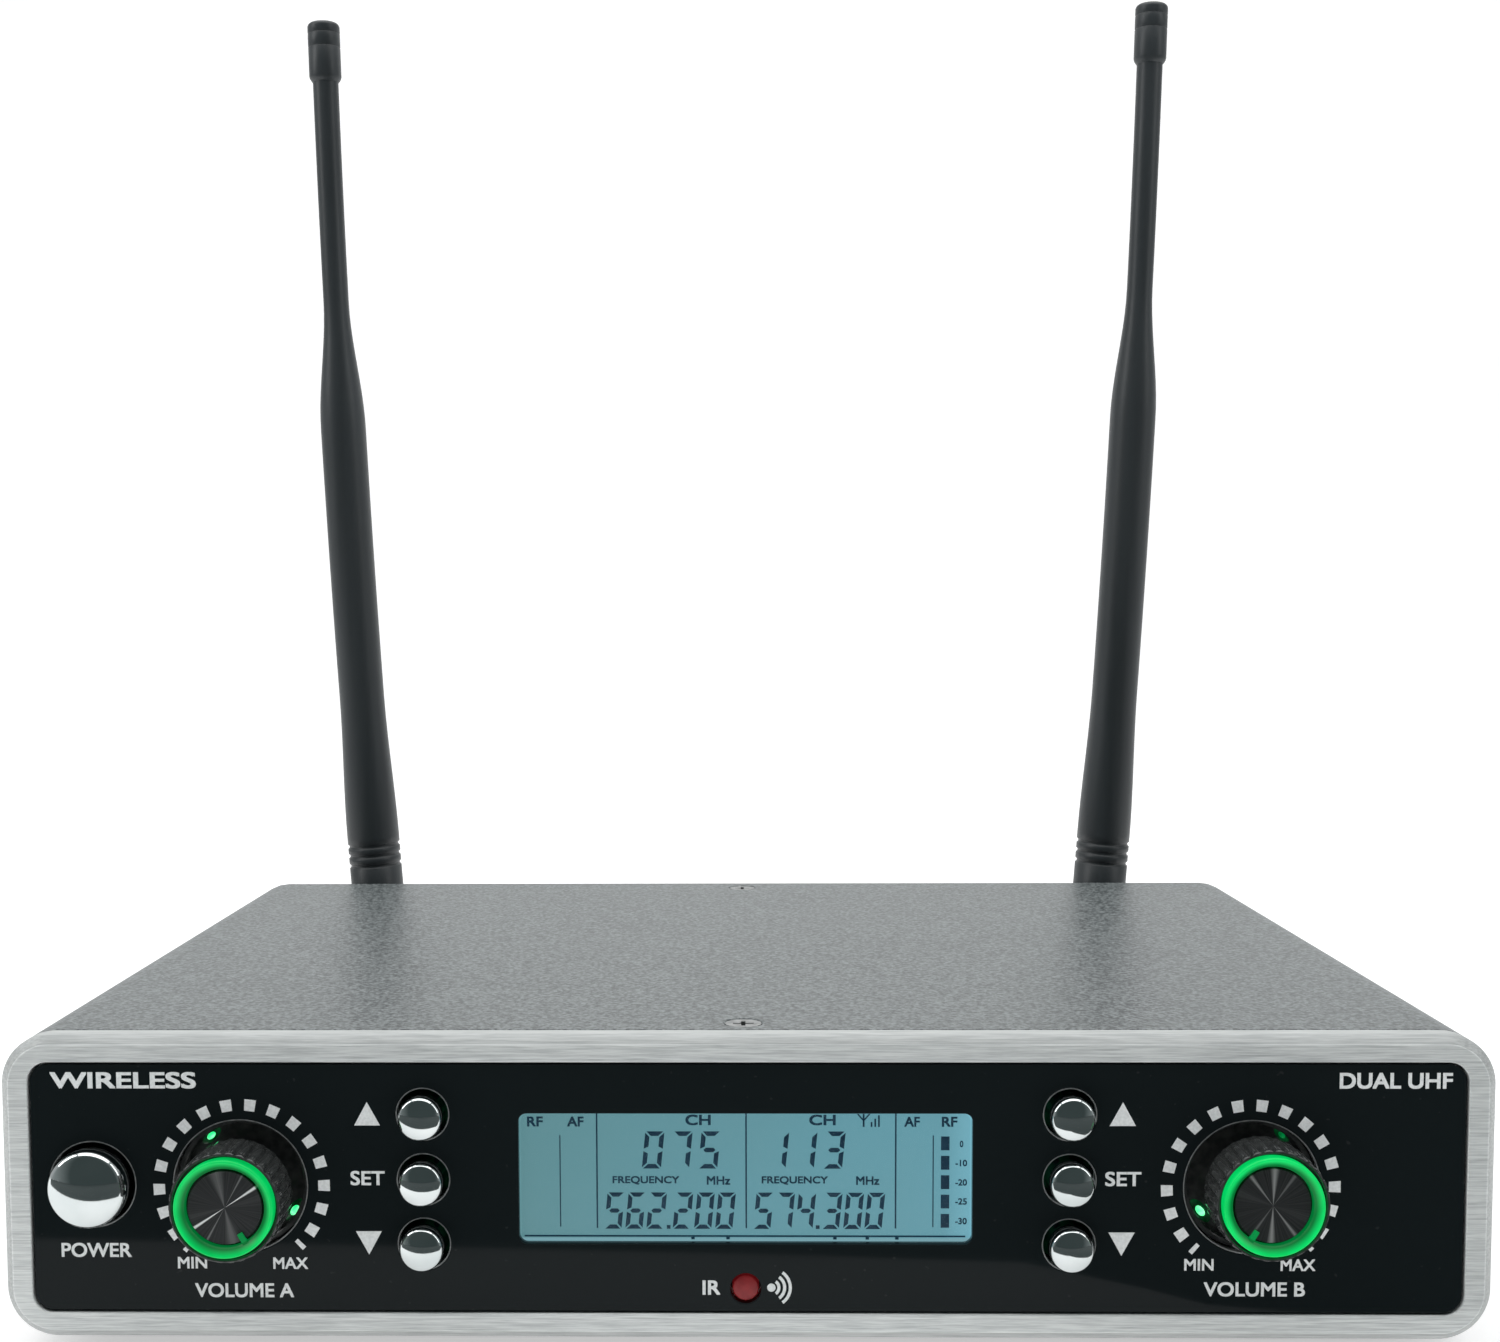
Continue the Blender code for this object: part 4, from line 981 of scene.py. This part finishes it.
def make_well(channel):
    """The black cup behind each knob, with two small green lamps in its floor, set where the cup shows green
    glints so that they paint those glints; round each is a painted pool of green light.
    """
    centre = place_of(f"light_well_{channel}")
    cup = [(9.40, 2.20), (9.40, 6.10), (3.60, 6.10), (3.60, 5.35), (8.45, 5.35), (8.70, 5.10), (8.70, 2.35)]
    cup.append((8.85, 2.20))
    mesh = lathe(f"well_cup_{channel}", [(r * MM, d * MM) for r, d in cup], centre, 96, closed=True)
    add_piece(f"well_cup_{channel}", mesh, KNOB_BLACK, "case", [f"light_well_{channel}"])
    for index, (dx, dz, size, bright) in enumerate(LAMP_PLACES[channel]):
        lamp = [(0.001, 4.75), (size * 0.5, 4.80), (size * 0.86, 4.95), (size, 5.2), (size, 5.3), (0.001, 5.3)]
        # Each lamp's patch is a faint glowing disc on the cup floor: a painted pool of the lamp's light.
        patch = [(0.001, 5.26), (size * 1.5, 5.27), (size * 1.8, 5.31), (size * 1.8, 5.345), (0.001, 5.345)]
        place = (centre[0] + dx * MM, centre[1] + dz * MM)
        along = Vector((-dz, 0, dx)).normalized()
        kinds = (("lamp", lamp, LAMP if bright else FAINT_LAMP, 0.7), ("patch", patch, PAINTED_LIGHT_PATCH, 1.2))
        for kind, outline, material, stretch in kinds:
            name = f"well_{kind}_{channel}_{index}"
            mesh = lathe(name, [(r * MM, d * MM) for r, d in outline], place, 24)
            middle = at(place[0], 0, place[1])
            for vertex in mesh.vertices:
                vertex.co += along * (vertex.co - middle).dot(along) * stretch
            add_piece(name, mesh, material, "case")


# Buttons


BUTTON_TILT = radians(28)
BUTTON_SHOULDER = 0.86


def button_section(radius, edge, skirt, stem, root):
    """Half the section of a chrome button on its stem: a shallow dome and a rolled rim (proud heights)."""
    shoulder = BUTTON_SHOULDER * radius
    roll = (radius - shoulder) / (1 - sin(BUTTON_TILT))
    level = edge + roll * cos(BUTTON_TILT)
    rise = tan(BUTTON_TILT) * shoulder / 2
    points = [(0.001, root), (stem, root), (stem, skirt), (radius - 0.08, skirt), (radius, skirt + 0.08)]
    for step in range(13):
        angle = (pi / 2 - BUTTON_TILT) * step / 12
        points.append((radius - roll + roll * cos(angle), edge + roll * sin(angle)))
    for step in range(1, 17):
        share = 1 - step / 16
        points.append((max(shoulder * share, 0.001), level + rise * (1 - share * share)))
    return [(r * MM, INSERT_FACE - p * MM) for r, p in points]


def make_buttons():
    outline = button_section(5.65, 2.2, -3.0, 2.1, -9.6)
    mesh = lathe("power_dome", outline, place_of("power_button"), 128)
    add_piece("power_dome", mesh, CHROME, "power_button", ["power_button"], 60)
    for key in KEYS:
        node = f"button_{key}"
        mesh = lathe(f"key_dome_{key}", button_section(3.12, 2.5, -3.2, 1.4, -14.3), place_of(node), 96)
        add_piece(f"key_dome_{key}", mesh, CHROME, node, [node], 60)


def make_hole_edge_highlights():
    """A light grey ring at the polished wall of each opening, a painted highlight along its edge."""
    for index, (node, radius, _) in enumerate(HIGHLIGHT_EDGED_HOLES):
        wall = ((-0.16, 0.10), (0.03, 0.10), (0.03, 1.2), (-0.10, 1.2))
        section = [(radius + dr * MM, INSERT_FACE + dd * MM) for dr, dd in wall]
        mesh = lathe(f"hole_edge_highlight_{index}", section, place_of(node), 96, closed=True)
        add_piece(f"hole_edge_highlight_{index}", mesh, HOLE_EDGE_HIGHLIGHT, "case")


# Antennas

WHIP_BOW = 0.135
STRETCH = {"a": 1.0067, "b": 1.0186}
LEAN = {"a": radians(-4.37), "b": radians(4.52)}
INWARD = {"a": 1, "b": -1}


def smooth_step(value, start, end):
    t = min(max((value - start) / (end - start), 0.0), 1.0)
    return t * t * (3 - 2 * t)


WHIP_FOOT, WHIP_MIDDLE, WHIP_TIP = 0.00574, 0.00490, 0.00275
# The section of a groove near the foot: distance from its middle, and depth
GROOVE = (
    (-0.00052, 0), (-0.00038, 0.00016), (-0.0002, 0.00034),
    (0.0002, 0.00034), (0.00038, 0.00016), (0.00052, 0),
)


def whip_radius(distance):
    lower = smooth_step(distance, 0.029, 0.060)
    upper = smooth_step(distance, 0.119, 0.146)
    return WHIP_FOOT + (WHIP_MIDDLE - WHIP_FOOT) * lower + (WHIP_TIP - WHIP_MIDDLE) * upper


def whip_outline():
    yield 0.0073, WHIP_FOOT - 0.0004
    yield 0.0077, WHIP_FOOT
    for groove in (0.0228, 0.0250, 0.0271):
        for offset, cut in GROOVE:
            yield groove + offset, WHIP_FOOT - cut
    for step in range(60):
        distance = 0.0290 + (0.1980 - 0.0290) * step / 59
        yield distance, whip_radius(distance)


def hinge_frame(channel):
    """From the whip's own frame, with its foot at the hinge, to the world."""
    low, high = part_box(f"antenna_pin_{channel}")
    return Matrix.Translation((low + high) / 2) @ Matrix.Rotation(LEAN[channel], 4, "Y")


def turned_on_line(name, channel, outline, stretched=True, steps=48):
    """Rings about the whip's bowed line; an outline point is (distance from the hinge, radius)."""
    to_world = hinge_frame(channel)
    loops = []
    for distance, radius in outline:
        along = distance * STRETCH[channel] if stretched else distance
        line = Vector((INWARD[channel] * WHIP_BOW * along**2, 0, along))
        tilt = Matrix.Rotation(INWARD[channel] * atan(2 * WHIP_BOW * along), 3, "Y")
        ring = circle_points((0, 0), radius, steps)
        loops.append([to_world @ (line + tilt @ Vector((x, y, 0))) for x, y in ring])
    return loft(name, loops)


def make_whip(channel):
    mesh = turned_on_line(f"whip_{channel}", channel, list(whip_outline()))
    body = f"antenna_{channel}_whip"
    add_piece(f"whip_{channel}", mesh, RUBBER, body, sharp=50)

    start = 0.1929 * STRETCH[channel]
    length, radius = 0.01256, 0.00346
    outline = [(0.0, 0.0028), (0.0004, 0.0031), (0.0008, 0.00335), (0.0013, radius)]
    for below in (0.0052, 0.0023):
        at_line = length - below
        outline += [(at_line - 0.0002, radius), (at_line, radius - 0.00012), (at_line + 0.0002, radius)]
    for step in range(7):
        angle = pi / 2 * step / 6
        outline.append((length - 0.001 * (1 - sin(angle)), radius - 0.001 * (1 - cos(angle))))
    outline = [(start + distance, r) for distance, r in outline]
    mesh = turned_on_line(f"whip_cap_{channel}", channel, outline, stretched=False)
    add_piece(f"whip_cap_{channel}", mesh, RUBBER, body, [f"antenna_cap_{channel}"], 50)
    make_tongue(channel, body)


def make_tongue(channel, body):
    """The flat eye at the whip's foot, between the fork's ears."""
    to_world = hinge_frame(channel)
    radius, half, top = 0.0053, 0.0040, 0.0082
    start = asin(half / radius)
    outline = []
    for step in range(33):
        angle = pi / 2 + start + (2 * pi - 2 * start) * step / 32
        outline.append((radius * cos(angle), radius * sin(angle)))
    outline += [(half, top), (-half, top)]
    mesh = flat_plate(f"whip_eye_{channel}", [outline, circle_points((0, 0), 0.0018, 32)], 0.0024, 0.0003)
    for vertex in mesh.vertices:
        y, z, x = vertex.co
        vertex.co = to_world @ Vector((x, y, z))
    add_piece(f"whip_eye_{channel}", mesh, RUBBER, body, [f"antenna_whip_{channel}"], 50)


# Rear legends and connector details


def hexagon_ring(name, centre, inner, across, front, back):
    """A six-sided nut round a hole, with its corners rounded off."""
    outline = []
    for step in range(72):
        angle = 2 * pi * step / 72
        flat = across / 2 / cos((angle + pi / 6) % (pi / 3) - pi / 6)
        radius = min(flat, across / 2 * 1.11)
        outline.append((centre[0] + radius * sin(angle), centre[1] + radius * cos(angle)))
    return plate(name, [outline, circle_points(centre, inner, 48)], front, back, 0.0002)


def make_rear():
    outer, inner = REAR_FACE + 0.00003, REAR_FACE - 0.00001
    legends = [("dc_in", "DC IN", -0.014, 0.034, 0.0055), ("line_out", "LINE OUT", 0.014, 0.034, 0.0088)]
    for channel in CHANNELS:
        x = place_of(f"xlr_output_{channel}")[0]
        legends.append((f"output_{channel}", f"BALANCED OUT {channel.upper()}", x, 0.0396, 0.0185))
        x = place_of(f"antenna_jack_{channel}")[0]
        legends.append((f"antenna_{channel}", f"ANTENNA {channel.upper()}", x, 0.0365, 0.0120))
    for name, words, x, height, width in legends:
        name = f"rear_legend_{name}"
        left, right = x - width / 2, x + width / 2
        mesh = text_mesh(name, words, left, right, height, 0.0017, outer, inner, 0.020, rear=True)
        add_piece(name, mesh, INK, "case")
    for channel in CHANNELS:
        x, height = place_of(f"xlr_output_{channel}")
        face = depth_of(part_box(f"xlr_output_{channel}")[1].y)
        for index, side in enumerate((-1, 1)):
            centre = (x + side * 0.0098, height - side * 0.0122)
            cap = ((0.01, -0.4), (2.4, -0.4), (2.4, 0.3), (1.9, 0.6), (0.9, 0.6), (0.8, 0.2), (0.01, 0.2))
            name = f"flange_rivet_{channel}_{index}"
            mesh = lathe(name, [(r * MM, face + proud * MM) for r, proud in cap], centre, 36)
            add_piece(name, mesh, SCREW, "case")
    front, back = REAR_FACE + 0.00325, REAR_FACE + 0.0041
    mesh = hexagon_ring("line_nut", place_of("line_output"), 0.00555, 0.0132, front, back)
    add_piece("line_nut", mesh, NICKEL, "case", sharp=50)


# Carried-over nodes


def dress(node, material, edge):
    """A CAD node with its material, smooth shading and softened edges."""
    obj = frame["nodes"][node]
    mesh = obj.data
    if "custom_normal" in mesh.attributes:
        mesh.attributes.remove(mesh.attributes["custom_normal"])
    mesh.materials.clear()
    mesh.materials.append(material)
    mesh.shade_smooth()
    weld = obj.modifiers.new("Weld", "WELD")
    weld.merge_threshold = 0.000002
    bevel = obj.modifiers.new("Edges", "BEVEL")
    bevel.width = edge
    bevel.segments = 2
    bevel.limit_method = "ANGLE"
    bevel.angle_limit = radians(38)
    bevel.harden_normals = True


# How each carried-over node is dressed: nodes, material and width of the softened edges
DRESSING = (
    (["top_cover"], CHARCOAL, 0.00022),
    (["chassis_tray", "rear_panel"], BLACK_PAINT, 0.00015),
    (["cover_screw_front", "cover_screw_rear"], SCREW, 0.00010),
    (["foot_front_left", "foot_front_right", "foot_rear_left", "foot_rear_right"], FOOT, 0.0004),
    (["main_board", "control_board"], BOARD, 0.0001),
    (["radio_module_a", "radio_module_b"], STEEL, 0.0003),
    (["potentiometer_a", "potentiometer_b", "knob_shaft_a", "knob_shaft_b"], STEEL, 0.0001),
    (["antenna_pin_a", "antenna_pin_b"], STEEL, 0.0001),
    (["antenna_jack_a", "antenna_jack_b"], NICKEL, 0.0001),
    (["antenna_fork_a", "antenna_fork_b"], MOULDED, 0.00025),
    (["xlr_output_a", "xlr_output_b"], NICKEL, 0.00012),
    ([f"tact_switch_{key}" for key in KEYS], MOULDED, 0.0001),
    (["power_switch", "line_output", "dc_inlet"], MOULDED, 0.00015),
    (["ribbon_cable"], RIBBON, 0.0001),
    (["infrared_window"], RED, 0.0002),
    (["display_module"], FIELD, 0.0001),
)


def dress_nodes():
    for nodes, material, edge in DRESSING:
        for node in nodes:
            dress(node, material, edge)


# Stage and lights

SWEEP_GLOW = 0.50
OVERHEAD_POWER = 12
SIDE_POWER = 1.6
WORLD_STRENGTH = 0.55


# How far in front of the panel the dark cloth starts, at places across the set
CLOTH_EDGE = (
    (-1.6, 0.10), (-0.30, 0.055), (-0.12, 0.047), (0.0, 0.040), (0.045, 0.036),
    (0.062, 0.024), (0.070, 0.017), (0.12, 0.005), (1.6, 0.005),
)


def make_sweep():
    """A pale sweep: floor, curve and wall in one, lit evenly."""
    profile = [(-1.3, 0.0), (0.75, 0.0)]
    for step in range(1, 13):
        angle = pi / 2 * step / 12
        profile.append((0.75 + 0.45 * sin(angle), 0.45 - 0.45 * cos(angle)))
    profile.append((1.20, 1.6))
    vertices = [(x, y, z) for y, z in profile for x in (-2.0, 2.0)]
    faces = [(2 * i, 2 * i + 1, 2 * i + 3, 2 * i + 2) for i in range(len(profile) - 1)]
    mesh = mesh_from("studio_sweep", vertices, faces)
    mesh.shade_smooth()
    shader = Shader("pale_sweep", (0.70, 0.70, 0.70), 0.9)
    cloud = shader.noise(3, 2.0)
    shader.colour(shader.ramp(cloud, (0.69, 0.69, 0.69), (0.72, 0.72, 0.72)))
    shader.set("Emission Color", (1.0, 1.0, 1.0, 1.0))
    shader.set("Emission Strength", SWEEP_GLOW)
    mesh.materials.append(shader.material)
    sweep = link_to_scene("studio_sweep", mesh)


def make_cloth():
    """A black cloth on the floor in front, which only the polished surfaces see."""
    vertices = [(x, -1.25, 0.002) for x, _ in CLOTH_EDGE]
    vertices += [(x, FRONT_Y - distance, 0.002) for x, distance in CLOTH_EDGE]
    count = len(CLOTH_EDGE)
    faces = [(i, i + 1, count + i + 1, count + i) for i in range(count - 1)]
    mesh = mesh_from("black_cloth", vertices, faces)
    shader = Shader("black_cloth", (0.01, 0.01, 0.01), 0.9)
    shader.colour(shader.ramp(shader.noise(400), (0.045, 0.056, 0.056), (0.060, 0.074, 0.074)))
    mesh.materials.append(shader.material)
    cloth = link_to_scene("black_cloth", mesh)
    cloth.visible_camera = False
    cloth.visible_diffuse = False
    cloth.visible_shadow = False


def add_area(name, place, aim, size, power):
    data = bpy.data.lights.new(name, "AREA")
    data.shape = "RECTANGLE"
    data.size, data.size_y = size
    data.energy = power
    light = link_to_scene(name, data)
    light.location = place
    light.rotation_euler = (Vector(aim) - Vector(place)).to_track_quat("-Z", "Y").to_euler()


def make_world():
    """A dim room behind the camera that brightens to the sides, above and behind the set."""
    world = bpy.data.worlds.new("studio")
    world.use_nodes = True
    tree = world.node_tree
    background = tree.nodes["Background"]
    toward_front = tree.nodes.new("ShaderNodeVectorMath")
    toward_front.operation = "DOT_PRODUCT"
    toward_front.inputs[1].default_value = (0.0, -0.97, 0.24)
    place = tree.nodes.new("ShaderNodeTexCoord")
    tree.links.new(place.outputs["Generated"], toward_front.inputs[0])
    ramp = tree.nodes.new("ShaderNodeValToRGB")
    tree.links.new(toward_front.outputs["Value"], ramp.inputs["Fac"])
    stops = (
        (0.0, (0.85, 0.88, 0.89)), (0.10, (0.80, 0.84, 0.85)),
        (0.45, (0.42, 0.47, 0.47)), (0.78, (0.10, 0.13, 0.13)),
    )
    first, last = ramp.color_ramp.elements
    first.position, last.position = stops[0][0], stops[-1][0]
    first.color, last.color = (*stops[0][1], 1.0), (*stops[-1][1], 1.0)
    for position, colour in stops[1:-1]:
        ramp.color_ramp.elements.new(position).color = (*colour, 1.0)
    tree.links.new(ramp.outputs["Color"], background.inputs["Color"])
    background.inputs["Strength"].default_value = WORLD_STRENGTH
    bpy.context.scene.world = world


def make_lights():
    add_area("overhead_softbox", (0.0, 0.05, 1.15), (0, 0.05, 0), (1.5, 1.2), OVERHEAD_POWER)
    add_area("right_softbox", (0.80, -0.30, 0.55), (0.08, 0.08, 0.12), (0.22, 0.70), SIDE_POWER * 0.7)
    add_area("left_softbox", (-0.80, -0.20, 0.60), (-0.05, 0.0, 0.06), (0.25, 0.60), SIDE_POWER * 1.3)
    bpy.context.scene.view_settings.view_transform = "Standard"


make_sweep()
make_cloth()
make_world()
make_lights()
make_front_panel()
make_insert()
make_legends()
make_display()
for channel_name in CHANNELS:
    make_knob(channel_name)
    make_well(channel_name)
    make_whip(channel_name)
make_buttons()
make_hole_edge_highlights()
make_rear()
dress_nodes()
